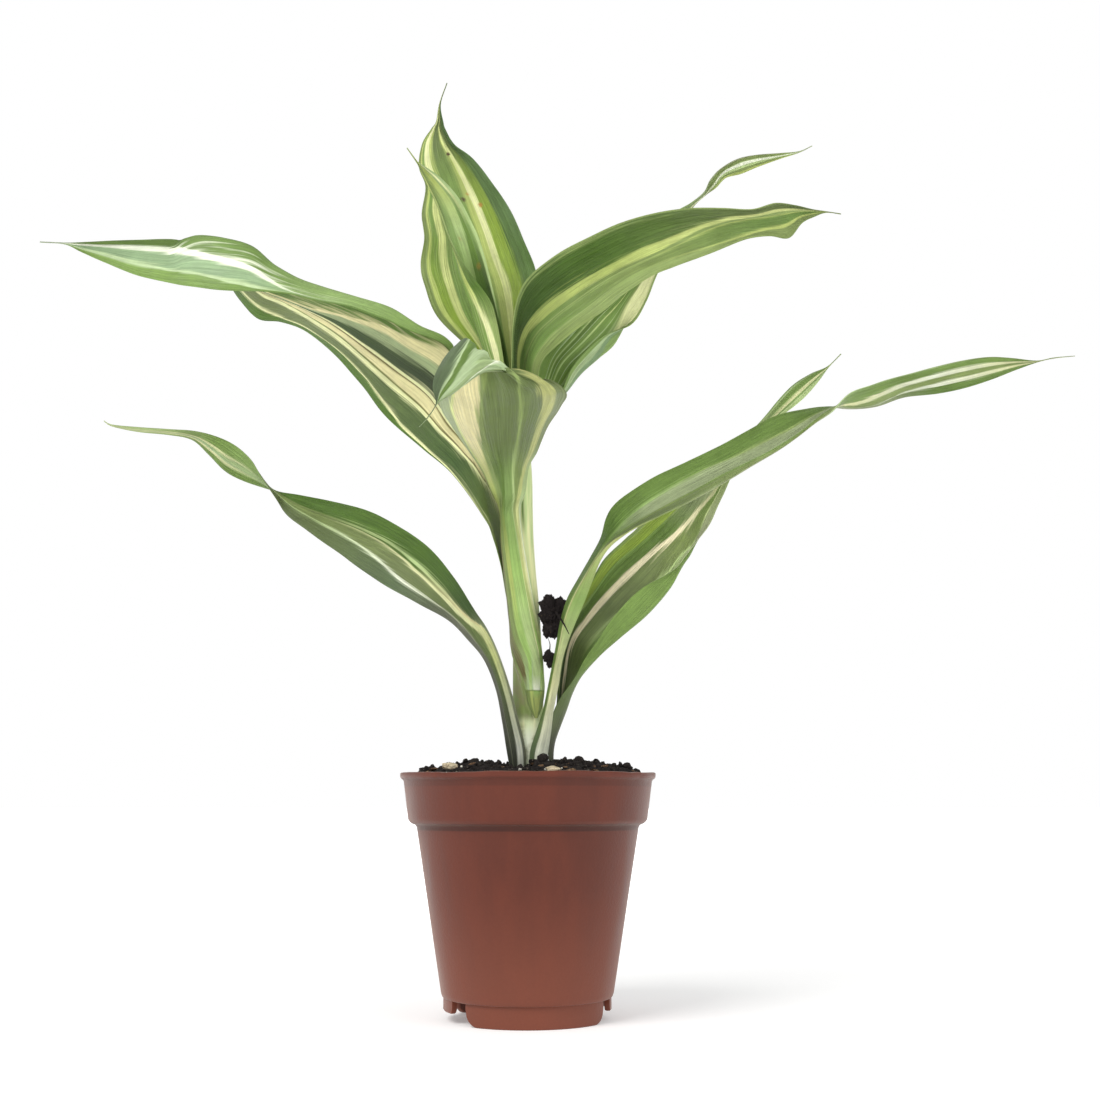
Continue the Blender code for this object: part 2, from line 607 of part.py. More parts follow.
def make_pot(material):
    """The moulded pot: lip, rim band, step, tapering wall, raised floor, feet and drain holes."""
    inside = pot_inside()
    floor_middle = FLOOR_Z + WALL / 2
    outline = [
        (0.0, FLOOR_Z),
        (BODY_FOOT_RADIUS - 2.6, FLOOR_Z),
        (BODY_FOOT_RADIUS - 0.5, FLOOR_Z),
        (BODY_FOOT_RADIUS, BODY_FOOT_Z + 0.5),
        (pot_wall_radius(BAND_FOOT_Z - 1.2), BAND_FOOT_Z - 1.2),
        (BODY_TOP_RADIUS + 0.2, BAND_FOOT_Z - 0.5),
        (BAND_FOOT_RADIUS - 0.9, BAND_FOOT_Z),
        (BAND_FOOT_RADIUS, BAND_FOOT_Z + 1.0),
        (BAND_TOP_RADIUS, POT_HEIGHT - LIP_DROP - 0.7),
        (LIP_RADIUS, POT_HEIGHT - LIP_DROP),
        (LIP_RADIUS, POT_HEIGHT - 0.2),
        (LIP_RADIUS - 0.4, POT_HEIGHT),
        *inside,
        (0.0, inside[-1][1]),
    ]
    pot = turned("pot", outline, POT_SIDES, material)
    for turn in (0, 180):
        feet = [ring_segment("foot", turned_span(FOOT_SPAN, turn), FOOT_RADIUS, 0.0, FOOT_CORNER, material)]
        for span in TOOTH_SPANS:
            place = turned_span(span, turn)
            feet.append(ring_segment("tooth", place, TOOTH_RADIUS, TOOTH_LIFT, TOOTH_CORNER, material))
        for foot in feet:
            apply_boolean(pot, foot, "UNION")
    for number in range(DRAINS):
        angle = 2 * math.pi * (number + DRAIN_TURN) / DRAINS
        place = placed((DRAIN_RING * math.cos(angle), DRAIN_RING * math.sin(angle), floor_middle))
        bpy.ops.mesh.primitive_cylinder_add(
            vertices=12, radius=DRAIN_RADIUS * MM, depth=3 * WALL * MM, location=place
        )
        apply_boolean(pot, bpy.context.active_object, "DIFFERENCE")
    return pot


def soil_height(x, y):
    """The height of the mix's surface: heaped in the middle, low at the wall, with lumps."""
    far = min(1.0, math.hypot(x, y) / (BAND_TOP_RADIUS - WALL))
    coarse = noise.noise(Vector((x * COARSE_LUMPS, y * COARSE_LUMPS, 3.7)))
    fine = noise.noise(Vector((x * FINE_LUMPS, y * FINE_LUMPS, 9.1)))
    lump = coarse + 0.6 * fine
    hollow = math.exp(-((x - HOLLOW_X) / HOLLOW_WIDTH) ** 2 - ((y - HOLLOW_Y) / HOLLOW_LENGTH) ** 2)
    return SOIL_RIM_Z + SOIL_DOME * (1 - far**4) + SOIL_LUMP * lump - HOLLOW_DEPTH * hollow


def make_soil(material):
    """The mix: fills the pot to its floor, with lumps on top and a plain hole for the stem."""
    sides = POT_SIDES
    inside = pot_inside()
    radii, heights = zip(*reversed(inside))
    angles = [2 * math.pi * k / sides for k in range(sides)]
    outward = [np.array((math.cos(angle), math.sin(angle))) for angle in angles]
    vertices = []
    for ring in range(SOIL_RINGS):
        share = ring / (SOIL_RINGS - 1)
        for out in outward:
            brim_z = soil_height(*(BAND_TOP_RADIUS * out))
            end = (np.interp(brim_z, heights, radii) - SOIL_CLEAR) * out
            start = np.array((HOLE_X, HOLE_Y)) + HOLE_RADIUS * out
            x, y = start + (end - start) * share
            vertices.append((x, y, soil_height(x, y)))
    for radius, height in inside[1:]:
        for out in outward:
            vertices.append((*((radius - SOIL_CLEAR) * out), height + GAP))
    hole = len(vertices)
    hole_floor_z = sight(*STEM[0][:3])[2] - GAP
    for out in outward:
        vertices.append((HOLE_X + HOLE_RADIUS * out[0], HOLE_Y + HOLE_RADIUS * out[1], hole_floor_z))
    faces = []
    rings = SOIL_RINGS + len(inside) - 1
    for i in range(rings - 1):
        for k in range(sides):
            a, b = i * sides + k, i * sides + (k + 1) % sides
            faces.append((a, a + sides, b + sides))
            faces.append((a, b + sides, b))
    last = (rings - 1) * sides
    faces.append(tuple(reversed(range(last, last + sides))))
    faces.append(tuple(range(hole, hole + sides)))
    for k in range(sides):
        a, b = k, (k + 1) % sides
        faces.append((a, b, hole + b, hole + a))
    return new_object("soil", vertices, faces, material)


def on_the_mix(across, depth, half_height):
    """The centre of a chip that lies on the mix where it shows at that place across the view."""
    x, y, _ = sight(across, CHIP_VIEW_DOWN, depth)
    return (x, y, soil_height(x, y) + half_height + CHIP_LIFT)


def make_lump(name, centre, sizes, seed, material):
    """A small rough lump round a place given in mm."""
    body = bmesh.new()
    bmesh.ops.create_icosphere(body, subdivisions=2, radius=1.0)
    vertices = []
    for vertex in body.verts:
        swell = 1 + LUMP_SWELL * noise.noise(vertex.co * 1.7 + Vector((seed, 0, 0)))
        vertices.append([centre[k] + vertex.co[k] * sizes[k] * swell for k in range(3)])
    faces = [tuple(v.index for v in face.verts) for face in body.faces]
    body.free()
    return new_object(name, vertices, faces, material)


def main():
    clear_scene()
    finishes = {name: finish_of(name) for name in COLOURS}
    make_pot(finishes["pot"])
    make_soil(finishes["soil"])
    make_stem(finishes["stem"])
    make_leaves(finishes["leaf"])
    for name, (place, sizes, seed) in CLUMPS.items():
        make_lump(name, sight(*place), sizes, seed, finishes["soil"])
    for name, (place, sizes, seed) in CHIPS.items():
        make_lump(name, on_the_mix(*place, sizes[2]), sizes, seed, finishes["chip"])


main()
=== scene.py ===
"""Looks of a young variegated lucky bamboo in a 76 mm nursery pot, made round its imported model.

The leaves are drawn over a front view. Each rail point of a leaf is (across, down, depth): where it
shows in that square view, in view units, and how far it lies behind the pot's axis, in millimetres.
The view's own constants turn it into a place. A leaf's stripes are bands that run along it, and
their edges are percent of the leaf's width, given at a few of its rows.
"""

import math

import bmesh
import bpy
import numpy as np
from mathutils import Matrix, Vector, noise


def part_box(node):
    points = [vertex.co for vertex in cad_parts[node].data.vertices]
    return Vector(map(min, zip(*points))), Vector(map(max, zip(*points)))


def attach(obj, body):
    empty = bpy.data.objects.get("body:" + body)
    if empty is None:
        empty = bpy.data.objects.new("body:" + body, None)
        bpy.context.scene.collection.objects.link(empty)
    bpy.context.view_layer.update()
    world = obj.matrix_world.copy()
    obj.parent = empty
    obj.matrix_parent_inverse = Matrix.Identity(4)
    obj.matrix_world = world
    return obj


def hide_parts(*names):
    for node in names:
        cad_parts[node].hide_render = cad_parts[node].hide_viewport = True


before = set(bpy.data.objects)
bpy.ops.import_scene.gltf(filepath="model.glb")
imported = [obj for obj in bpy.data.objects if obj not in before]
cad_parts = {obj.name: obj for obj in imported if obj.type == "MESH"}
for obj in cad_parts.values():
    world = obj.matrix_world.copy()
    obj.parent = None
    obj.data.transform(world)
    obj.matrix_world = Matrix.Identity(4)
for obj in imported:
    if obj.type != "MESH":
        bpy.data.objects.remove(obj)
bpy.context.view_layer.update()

MM = 0.001

# The front view that the leaves are drawn over: the eye, its distance, and how far it looks up
VIEW_CENTRE = 550.0
VIEW_FOCAL = 1528.0
VIEW_SIZE = 1100.0
EYE_RIGHT = 6.6
EYE_DISTANCE = 463.0
EYE_HEIGHT = 63.0
EYE_PITCH = math.radians(9.3)
SENSOR = 36.0
CLIP_START = 0.01

# The pot's axis, in mm from the origin
POT_LOW, POT_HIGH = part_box("pot")
POT_X = (POT_LOW.x + POT_HIGH.x) / 2 / MM
POT_Y = (POT_LOW.y + POT_HIGH.y) / 2 / MM

# Pot, in mm: heights above the foot's underside and radii from its axis
POT_HEIGHT = 71.0
LIP_RADIUS = 38.1
LIP_DROP = 1.5
BAND_TOP_RADIUS = 37.1
BAND_FOOT_RADIUS = 35.6
BAND_FOOT_Z = 56.3
BODY_TOP_RADIUS = 33.2
BODY_FOOT_RADIUS = 25.3
BODY_FOOT_Z = 7.0
WALL = 1.2
FLOOR_Z = 6.3
POT_SIDES = 240

# The pot's small slopes and bevels, in mm: inward or outward first, then down or up
FOOT_BEVEL = 0.5
STEP_DROP = 1.2
STEP_FLARE = (0.2, 0.5)
BAND_BEVEL = (0.9, 1.0)
LIP_SLOPE = 0.7
LIP_BEVEL = (0.4, 0.2)
INNER_STEP = (2.0, 1.6)
INNER_BEVEL = 0.8

# Feet under the floor, in mm and degrees; each kind stands again half a turn round
FOOT_RADIUS = 24.0
FOOT_WALL = 1.6
FOOT_CORNER = 4.5
FOOT_SPAN = (-46, 66)
FOOT_EDGE = 0.25
FOOT_STEP = 1.2
TOOTH_RADIUS = 24.6
TOOTH_LIFT = 2.8
TOOTH_CORNER = 1.2
TOOTH_SPANS = ((76, 98), (99.2, 120))
DRAINS = 6
DRAIN_RADIUS = 2.4
DRAIN_RING = 17.5
DRAIN_TURN = 0.58
DRAIN_SIDES = 32

# The pot's surface, in mm: its mesh, its rounded corners, the waviness of its lip and how far below
# the top that begins and is full; and the angle past which its edges are sharp, in degrees
POT_STEP = 1.6
POT_CORNER = 0.5
LIP_WAVE = 0.3
LIP_WAVE_FROM = (3.2, 1.4)
POT_SHARP = 35

# Potting mix, in mm: its height at the wall, its heap, its lumps and how many of them a millimetre
# holds, the rings and sides of its mesh, its clearance from the pot, and the stem's middle and hole
SOIL_RIM_Z = 69.5
SOIL_DOME = 4.3
SOIL_LUMP = 1.1
COARSE_LUMPS = 0.15
FINE_LUMPS = 0.3
SOIL_RINGS = 64
SOIL_CLEAR = 0.4
STEM_X = 1.1
STEM_Y = -1.2
STEM_HOLE = 4.6
MIX_SIDES = 288

# Fine crumbs of the mix: size across, height, seed
CRUMB_OCTAVES = ((2.6, 0.5, 2.2), (1.2, 0.35, 5.4), (0.6, 0.16, 8.3))

# A hollow in the mix in front of the stem's foot: its middle, half widths and depth
HOLLOW_X = -4.0
HOLLOW_Y = -14.0
HOLLOW_WIDTH = 4.5
HOLLOW_LENGTH = 12.0
HOLLOW_DEPTH = 3.2

# Loose bits on the mix: how far they keep from the wall and from the stem's middle, in mm; how far a
# flat one tilts, in degrees; how much rarer the large ones are; the shares of its size that a
# bit's half lengths take; and the share of its height by which its middle lies above the mix
BITS_WALL_CLEAR = 1.6
BITS_STEM_CLEAR = 5.6
BITS_TILT = 24
BITS_SIZE_POWER = 2.2
BITS_SHAPE = (0.45, 1.0)
BITS_RISE = 0.15

# Stem: rows and sides of its mesh, and how far an old sheath's margin stands out, in mm
STEM_ROWS = 300
STEM_SIDES = 128
HUSK_LIFT = 0.75

# Places on the stem, as view units down: where the old sheath's husk and its margin fade in and
# out, where the side seam ends, and where the foot bleaches
HUSK_TOP = (636, 646)
HUSK_FOOT = (716, 726)
MARGIN_FOOT = (712, 722)
SEAM_END = (515, 545)
BLEACHED_FOOT = (712, 745)

# Lines along the stem: how far they lie past the sheath's edge, and their half widths, in degrees
MARGIN_LINE = (-5, 9)
SEAM_LINE = (10, 7)
HUSK_EDGE = 4

# Leaves: lengths in mm, counts, and shares of the thickness that margins and narrow stretches lose
LEAF_HALF = 0.26
MARGIN_THINNING = 0.7
TIP_THINNING = 0.55
TIP_HALF_WIDTH = 0.3
TIP_NARROWING = 0.55
LEAN_POWER = 1.5
LEAF_ROWS = 200
LEAF_COLUMNS = 46
EDGE_SMOOTHING = 6
BROAD_FROM = (2, 9)
RIB_HEIGHT = 0.05
RIBS = 11
WAVE_LENGTH = 11.0
WAVE_HEIGHT = 0.35
WAVE_HEIGHTS = {
    "leaf_lower_left": 0.6,
    "leaf_top": 0.9,
    "leaf_right_broad": 0.8,
    "leaf_lower_right": 0.5,
    "leaf_crown_front": 0.6,
}
SHEATH_CLEAR = 0.95

# Leaf skins: how soft the stripes' edges are and how far they fray, in bands; how drawn out streaks
# are; how many feathers, veins and hairlines would cross a leaf; and the shades of what they carry
STRIPE_SOFTNESS = 0.13
FEATHER = 0.12
STREAK_DRAW = 0.04
FEATHERS = 26.0
VEINS = 78.0
HAIRLINES = 190.0
VEIN_SHADES = (0.86, 1.15)
HAIRLINE_SHADES = (0.94, 1.06)
MOTTLE_SHADES = (0.91, 1.09)
FEATHER_TINT = 0.07
LEAF_BUMP = 0.00014

# The pot's colours: its darker clouds and its lighter ones, and the painted light thrown up onto its foot
POT_DARK = (88, 37, 22)
POT_LIGHT = (99, 44, 28)
POT_FOOT_PAINTED_LIGHT = (134, 75, 56)
POT_FOOT_PAINTED_LIGHT_TOP = 0.045

# Painted shade in lines round the pot, under its band and its lip: heights in metres, the shade, and how
# soft their edges are
POT_PAINTED_SHADES = ((0.0546, 0.0562, 0.55), (0.0672, 0.0692, 0.8))
POT_PAINTED_SHADE_EDGE = 0.0004

# Crumbly skins: their dark colour, their grains' colour, and the grains' share
MIX_SKIN = ((35, 31, 30), (124, 114, 104), 0.34)
CRUMB_SKIN = ((38, 34, 32), (134, 122, 108), 0.34)
BARK_SKIN = ((84, 62, 46), (150, 122, 92), 0.45)
PERLITE_SKIN = ((150, 144, 132), (226, 222, 210), 0.6)
CLUMP_SKIN = ((37, 32, 32), (140, 118, 90), 0.3)
CHIP_SKIN = ((126, 104, 80), (214, 200, 170), 0.55)

# Lumps lodged by the stem: middle in the view, half sizes in mm, seed
CLUMPS = {
    "mix_clump_large": ((553.5, 616, -5.2), (4.6, 4.9, 6.4), 3),
    "mix_clump_small": ((549, 658, -5), (2.0, 2.5, 3.0), 8),
}
# Their lobes: middle as shares of the half sizes, radius as a share of the smallest
CLUMP_LOBES = {
    "mix_clump_large": (
        ((0, 0, 0), 0.8), ((-0.35, -0.1, 0.5), 0.55), ((0.4, 0, 0.45), 0.52), ((-0.1, 0, -0.55), 0.62),
        ((0.3, -0.2, -0.2), 0.6), ((0, 0.35, 0.1), 0.7),
    ),
    "mix_clump_small": (
        ((0, 0, 0), 0.85), ((-0.2, 0, 0.5), 0.5), ((0.15, 0, -0.55), 0.6), ((0, 0.3, 0), 0.6),
    ),
}
# The one root of each: its points in the view, and its radius in mm
CLUMP_ROOTS = {
    "mix_clump_large": (((556, 612, -10), (562, 621, -13), (566, 628, -14.5), (569, 634, -15)), 0.35),
    "mix_clump_small": (((549, 654, -8), (550, 645, -9.5), (548, 638, -9)), 0.22),
}
# Their clods: how many a millimetre holds, and their height in quarters of the smallest half size
CLODS = ((0.45, 0.9), (1.1, 0.75), (2.2, 0.4), (4.5, 0.22))
ROOT_SIDES = 7
ROOT_TAPER = 0.75

# Bark lying on the mix: how far it is raised, in mm; the height in the view that it is placed at;
# how much it swells past its half sizes before it is chipped; and its (across, depth), half sizes
# in mm and seed
CHIP_LIFT = -0.9
CHIP_VIEW_DOWN = 768
CHIP_SWELL = 1.08
CHIPS = {
    "bark_chip_left": ((449, -22.5), (2.5, 1.9, 1.2), 5),
    "bark_chip_front": ((553, -32), (2.5, 1.8, 1.1), 11),
}

# Studio, in metres: the floor, its glow at its middle and far out, and the even light
FLOOR_RADIUS = 12.0
FLOOR_PAINT = (240, 240, 240)
FLOOR_GLOW = (0.25, 1.0)
FLOOR_GLOW_REACH = (0.1, 0.7)
WORLD_LIGHT = 0.64
WHITE = (1.0, 1.0, 1.0, 1.0)

# Lamps: name, place, size across, power in watts, colour
LIGHT_TARGET = (0.0, 0.0, 0.12)
LIGHTS = (
    ("key", (-0.75, -0.95, 1.35), 0.9, 17.0, (1.0, 0.99, 0.97)),
    ("fill", (1.1, -0.9, 0.7), 1.2, 4.5, (0.98, 0.99, 1.0)),
)

# Stem: (across, down, depth, radius) along its centre line, up from inside the mix
STEM = (
    (530, 850, 0, 4.4),
    (530, 800, 0, 5.0),
    (530, 765, 0, 5.0),
    (529, 738, 0, 4.8),
    (528, 700, 0, 4.6),
    (527.5, 660, 0, 4.4),
    (527, 629, 0, 4.15),
    (524.5, 600, 0, 4.3),
    (521.5, 572, 0, 4.4),
    (519, 540, 0, 4.5),
    (518, 510, 0, 4.55),
    (518, 480, 0, 4.4),
    (517.5, 450, 0, 3.9),
    (517, 425, 0, 3.2),
)
# Where leaves clasp the stem: (down, first rail's bearing, last rail's), in degrees from the front.
# The crown leaf's sheath starts as a point low on the stem and opens to a split tube.
CROWN_SHEATH = (
    (719, 20, 30),
    (707, 3, 50),
    (690, -9, 66),
    (676, -24, 66),
    (660, -50, 62),
    (642, -92, 52),
    (620, -118, 40),
    (600, -118, 30),
    (572, -118, 22),
    (540, -116, 13),
    (514, -112, 9),
)
TOP_SHEATH = ((434, 150, 214),)
UPPER_RIGHT_SHEATH = ((434, 60, 130),)
BEHIND_RIGHT_SHEATH = ((452, 88, 132),)

# Leaf rails, from the base to the tip; a row of one point is the fine point or its hair
UPPER_LEFT = (
    ((510.5, 613, 1), (512, 610, 3), (514, 607, 5), (516, 604, 7)),
    ((494.5, 541, -1), (496, 532, 2), (501, 522, 6), (506, 513, 9)),
    ((480, 512, -1), (482, 480, 0), (482, 452, 6), (488, 440, 9)),
    ((452, 474, 3), (468, 442, 0), (474, 396, 3), (476, 388, 7)),
    ((424, 450, 6), (450, 416, 0), (462, 366, -2), (462, 362, 1)),
    ((398, 428, 9), (432, 388, 1), (446, 342, -6), (440, 342, -9)),
    ((381, 411, 11), (400, 364, 1), (419, 328, -9), (411, 331, -13)),
    ((361, 384, 12), (368, 342, 1), (390, 309, -10), (381, 318, -15)),
    ((337, 357, 12), (337, 322, 1), (357, 298, -11), (350, 307, -16)),
    ((307, 332, 12), (309, 309, 1), (325, 288, -11), (318, 301, -17)),
    ((281, 322, 11), (284, 300, 1), (299, 279, -11), (290, 294, -17)),
    ((258, 319, 10), (262, 292, 0), (274, 265, -11), (267, 292, -18)),
    ((240, 300, 7), (243, 276, -2), (252, 247, -11), (245, 291, -18)),
    ((222, 274, 3), (223, 255, -4), (226, 240, -11), (220, 290, -18)),
    ((198, 249, -3), (199, 243, -6), (200, 238.5, -10), (195, 287, -17)),
    ((185, 243, -6), (185, 240, -8), (185, 243.5, -10.5), (181, 285, -16.5)),
    ((172, 239, -8), (171, 244, -9), (170, 252, -11), (167, 282, -16)),
    ((139, 240, -10), (138, 244, -11), (137, 251, -12), (136, 275, -15)),
    ((106, 241, -11), (106, 244, -12), (105, 248, -12), (104, 262, -14)),
    ((84, 242, -13), (84, 243.5, -13), (83, 246, -13), (81, 252, -13)),
    ((65, 243.5, -13),),
    ((40, 242, -13),),
)
LOWER_LEFT = (
    ((526, 772, -5.9), (519, 774, -7), (511, 776, -5.5)),
    ((525, 748, -6), (517, 750, -7.4), (507, 752, -5.5)),
    ((518, 717, -7), (511, 722, -8.4), (502, 722, -6.5)),
    ((510, 687, -8.5), (503, 691, -10.2), (496, 690, -8.3)),
    ((498, 652, -11), (492, 660, -13), (484, 660, -11)),
    ((486, 627, -12), (478, 639, -14), (468, 640, -11)),
    ((472, 606, -15), (462, 615, -14), (447, 620, -11)),
    ((454, 577, -18), (442, 590, -16), (420, 604, -12)),
    ((428, 547, -21), (415, 565, -18), (391, 589, -13)),
    ((398, 526, -23), (384, 546, -20), (362, 570, -15)),
    ((366, 510, -25), (352, 532, -22), (335, 550, -17)),
    ((330, 501, -26), (320, 518, -24), (306, 530, -20)),
    ((300, 495, -26), (295, 506, -26), (286, 514, -23)),
    ((281, 492, -25), (278, 494, -27), (275, 497, -29)),
    ((264, 488, -25), (262, 481, -28), (259, 473, -31)),
    ((243, 481, -26), (246, 470, -29), (250, 459, -32)),
    ((225, 471, -27), (229, 459, -30), (236, 446, -32)),
    ((209, 455, -28), (213, 446, -31), (218, 437, -32)),
    ((192, 440, -30), (194, 436, -31), (195, 431, -32)),
    ((168, 435, -31), (168, 432, -31), (168, 429, -31)),
    ((138, 432, -31), (138, 430, -31), (138, 427, -31)),
    ((112, 425.5, -31),),
    ((104, 421, -31),),
)
TOP = (
    ((521, 412, 5.4), (514, 412, 6.8), (507, 412, 5.2)),
    ((519, 385, 5), (511, 385, 8), (494, 384, 5)),
    ((522, 360, 6), (511, 360, 10), (474, 354, 5)),
    ((533, 316, 7), (506, 312, 12), (437, 316, 5)),
    ((537, 288, 7), (500, 285, 14), (424, 284, 6)),
    ((534, 266, 8), (492, 260, 15), (421, 262, 7)),
    ((524, 240, 9), (484, 234, 16), (424, 238, 8)),
    ((512, 214, 10), (474, 208, 16), (422, 214, 9)),
    ((495, 186, 11), (464, 182, 16), (425, 188, 10)),
    ((474, 160, 12), (453, 158, 15), (419, 166, 11)),
    ((455, 145, 12), (445, 142, 14), (422, 144, 12)),
    ((446, 130, 13), (440, 129, 14), (431, 129, 12)),
    ((443.5, 122.5, 13), (440, 121, 13.5), (436, 121.5, 13)),
    ((440, 104, 12),),
    ((447, 83, 10),),
)
YOUNG = (
    ((522, 420, 0.5), (516, 420, 2.4), (510, 420, 0), (516, 420, -2.4)),
    ((512, 402, 1), (506, 402, 2.5), (501, 402, 0), (506, 402, -2.5)),
    ((511, 380, 1), (504, 379, 3.5), (493, 376, 0), (506, 379, -3.5)),
    ((507, 352, 0.5), (496, 351, 4), (482, 346, -1), (502, 350, -4.5)),
    ((501, 326, 0), (488, 324, 4), (474, 320, -1), (497, 322, -5)),
    ((496, 304, 0), (482, 303, 4), (468, 301, -2), (490, 300, -6)),
    ((490, 277, 0), (475, 277, 4), (461, 279, -2), (473, 277, -6)),
    ((482, 248, 0), (468, 251, 4), (456, 255, -2), (459, 256, -5)),
    ((472, 223, 1), (460, 229, 4), (449, 233, -1), (447, 231, -3)),
    ((458, 197, 2), (449, 204, 4), (440, 209, 1), (438, 206, -1)),
    ((441, 178, 3), (435, 184, 4), (430, 188, 2), (428, 185, 1)),
    ((426, 167, 3), (424, 170, 4), (422, 173, 3), (421, 171, 3)),
    ((417, 162, 3),),
    ((407, 148, 3),),
)
UPPER_RIGHT = (
    ((535, 412, -0.5), (531, 412, 3), (525, 411, 3)),
    ((537, 388, -2), (523, 388, 4), (512, 386, -2)),
    ((542, 362, -4), (519, 362, 4), (512, 356, -4)),
    ((560, 343, -6), (524, 334, 4), (513, 324, -5)),
    ((582, 326, -8), (538, 314, 4), (518, 296, -5)),
    ((604, 310, -9), (557, 297, 3), (530, 276, -5)),
    ((628, 291, -10), (582, 280, 2), (556, 255, -5)),
    ((650, 277, -10), (610, 264, 1), (587, 238, -6)),
    ((676, 266, -11), (641, 249, -1), (620, 223, -6)),
    ((702, 256.5, -12), (673, 237, -3), (655, 213, -7)),
    ((727, 246.5, -12), (704, 228, -6), (690, 208, -8)),
    ((750, 238.5, -13), (733, 223, -9), (723, 208, -9)),
    ((770, 236, -14), (760, 221, -11), (752, 209, -10)),
    ((789, 238, -15), (782, 217, -12), (775, 203, -11)),
    ((802, 223, -14), (799, 213, -12), (795, 205, -12)),
    ((814, 217, -13), (813, 212, -12), (812, 209, -12)),
    ((826, 212, -12),),
    ((841, 214, -12),),
)
BEHIND_RIGHT = (
    ((540, 437, 1.5), (542, 436, 4), (538, 434, 6.5), (531, 432, 7)),
    ((550, 410, 5), (548, 410, 6.5), (540, 410, 8), (533, 408, 6)),
    ((562, 390, 5), (566, 391, 7), (550, 384, 10), (538, 376, 7)),
    ((571, 369, 5), (581, 373, 7), (560, 362, 12), (546, 350, 8)),
    ((587, 350, 5), (598, 358, 7), (580, 341, 13), (562, 328, 9)),
    ((607, 334, 6), (615, 342, 8), (602, 317, 14), (585, 303, 10)),
    ((631, 325, 7), (629, 311, 12), (621, 296, 15), (608, 282, 11)),
    ((646, 302, 9), (643, 288, 13), (636, 274, 15), (625, 262, 12)),
    ((656, 277, 10), (654, 264, 13.5), (650, 252, 15), (643, 242, 12)),
    ((671, 248, 12), (669, 240, 14.5), (665, 232, 15), (660, 225, 12)),
    ((684, 224, 14.5), (683, 220, 14.8), (680, 215, 13.5), (677, 211, 11)),
    ((694, 206, 16), (693, 205, 14), (692, 204, 12), (691, 203, 10)),
    ((706, 195, 15), (705, 195, 14), (704, 194, 13), (704, 192, 11)),
    ((716, 188, 14), (714, 186, 14), (712, 183, 13), (710, 180, 12)),
    ((726, 178, 13), (724, 175, 13), (722, 171, 12), (720, 169, 11)),
    ((741, 174, 12), (740, 169, 12), (738, 163, 11), (737, 159, 10)),
    ((758, 167, 11), (757, 163, 11), (756, 158, 10), (755, 155, 10)),
    ((780, 159, 9), (780, 157, 9), (780, 155, 9), (780, 153, 9)),
    ((799, 152, 8),),
    ((812, 146, 8),),
)
CROWN_FRONT = (
    ((492, 492, -3), (496, 491, -7), (506, 491, -9), (519, 491, -8), (525, 491, -5.5)),
    ((482, 471, -6), (489, 470, -11), (504, 470, -14), (519, 468, -13), (529, 467, -9)),
    ((468, 450, -12), (480, 451, -19), (501, 452, -22), (523, 450, -20), (537, 452, -14)),
    ((453, 428, -22), (470, 429, -30), (499, 431, -33), (527, 429, -31), (547, 428, -22)),
    ((441, 408, -33), (463, 407, -41), (497, 409, -44), (533, 407, -42), (560, 408, -31)),
    ((440, 390, -44), (458, 383, -51), (494, 388, -54), (532, 390, -52), (567, 394, -41)),
    ((450, 364, -55), (462, 354, -60), (488, 364, -62), (520, 378, -60), (552, 380, -50)),
    ((458, 343, -63), (467, 339, -66), (479, 351, -67), (496, 366, -66), (516, 374, -60)),
    ((445, 357, -70), (454, 356, -72), (464, 364, -73), (475, 372, -72), (488, 371, -68)),
    ((435, 375, -75), (441, 376, -76), (449, 381, -76), (458, 386, -76), (466, 384, -73)),
    ((433, 390, -77), (437, 391, -77.5), (441, 393, -78), (446, 396, -78), (450, 396, -77)),
    ((437, 403, -77.9),),
    ((429, 416, -77.9),),
    ((419, 427, -77.9),),
)
LOWER_RIGHT = (
    ((529, 772, -6), (537, 774, -7.2), (545, 774, -5.5)),
    ((530, 752, -6.2), (539, 752, -7.8), (548, 752, -6)),
    ((536, 732, -6.6), (544, 732, -8.6), (551, 732, -6.5)),
    ((543, 710, -6.5), (548, 709, -9), (554, 708, -7)),
    ((548, 686, -7), (553, 684, -10), (559, 683, -8)),
    ((552, 666, -8), (557, 663, -11), (562, 662, -9)),
    ((556, 645, -9), (562, 642, -12.5), (568, 642, -10)),
    ((560, 622, -10), (567, 622, -14), (575, 624, -11)),
    ((567, 599, -12), (576, 600, -16.5), (584, 603, -13)),
    ((579, 577, -15), (586, 578, -20), (592, 582, -15.5)),
    ((591, 556, -19), (597, 557, -24), (601, 560, -18)),
    ((601, 537, -21), (608, 540, -26), (612, 545, -20)),
    ((606, 518, -25), (620, 527, -28), (628, 533, -22)),
    ((614, 505, -27), (632, 517, -29), (642, 525, -23)),
    ((630, 492, -28), (649, 505, -30), (661, 516, -24)),
    ((656, 476, -29), (674, 490, -31), (688, 503, -25)),
    ((686, 462, -30), (703, 475, -32), (716, 488, -27)),
    ((718, 447, -30), (733, 460, -32), (745, 470, -28)),
    ((748, 430, -31), (762, 442, -33), (772, 455, -29)),
    ((778, 415, -31), (789, 427, -33), (798, 437, -31)),
    ((806, 409, -30), (811, 415, -33), (816, 423, -34)),
    ((829, 407, -28), (830, 409, -33), (831, 413, -38)),
    ((849, 409, -29), (850, 401, -34), (850, 393, -39)),
    ((878, 406, -31), (876, 395, -36), (874, 384, -40)),
    ((906, 397, -33), (903, 386, -37), (901, 376, -40)),
    ((937, 394, -35), (935, 380, -38), (932, 368, -41)),
    ((965, 388, -37), (962, 374, -39), (960, 361, -41)),
    ((993, 379, -38), (990, 368, -40), (988, 357, -41)),
    ((1016, 370, -39), (1014, 364, -40), (1012, 358, -41)),
    ((1037, 361.5, -40),),
    ((1054, 358, -40),),
    ((1075, 356, -40),),
)
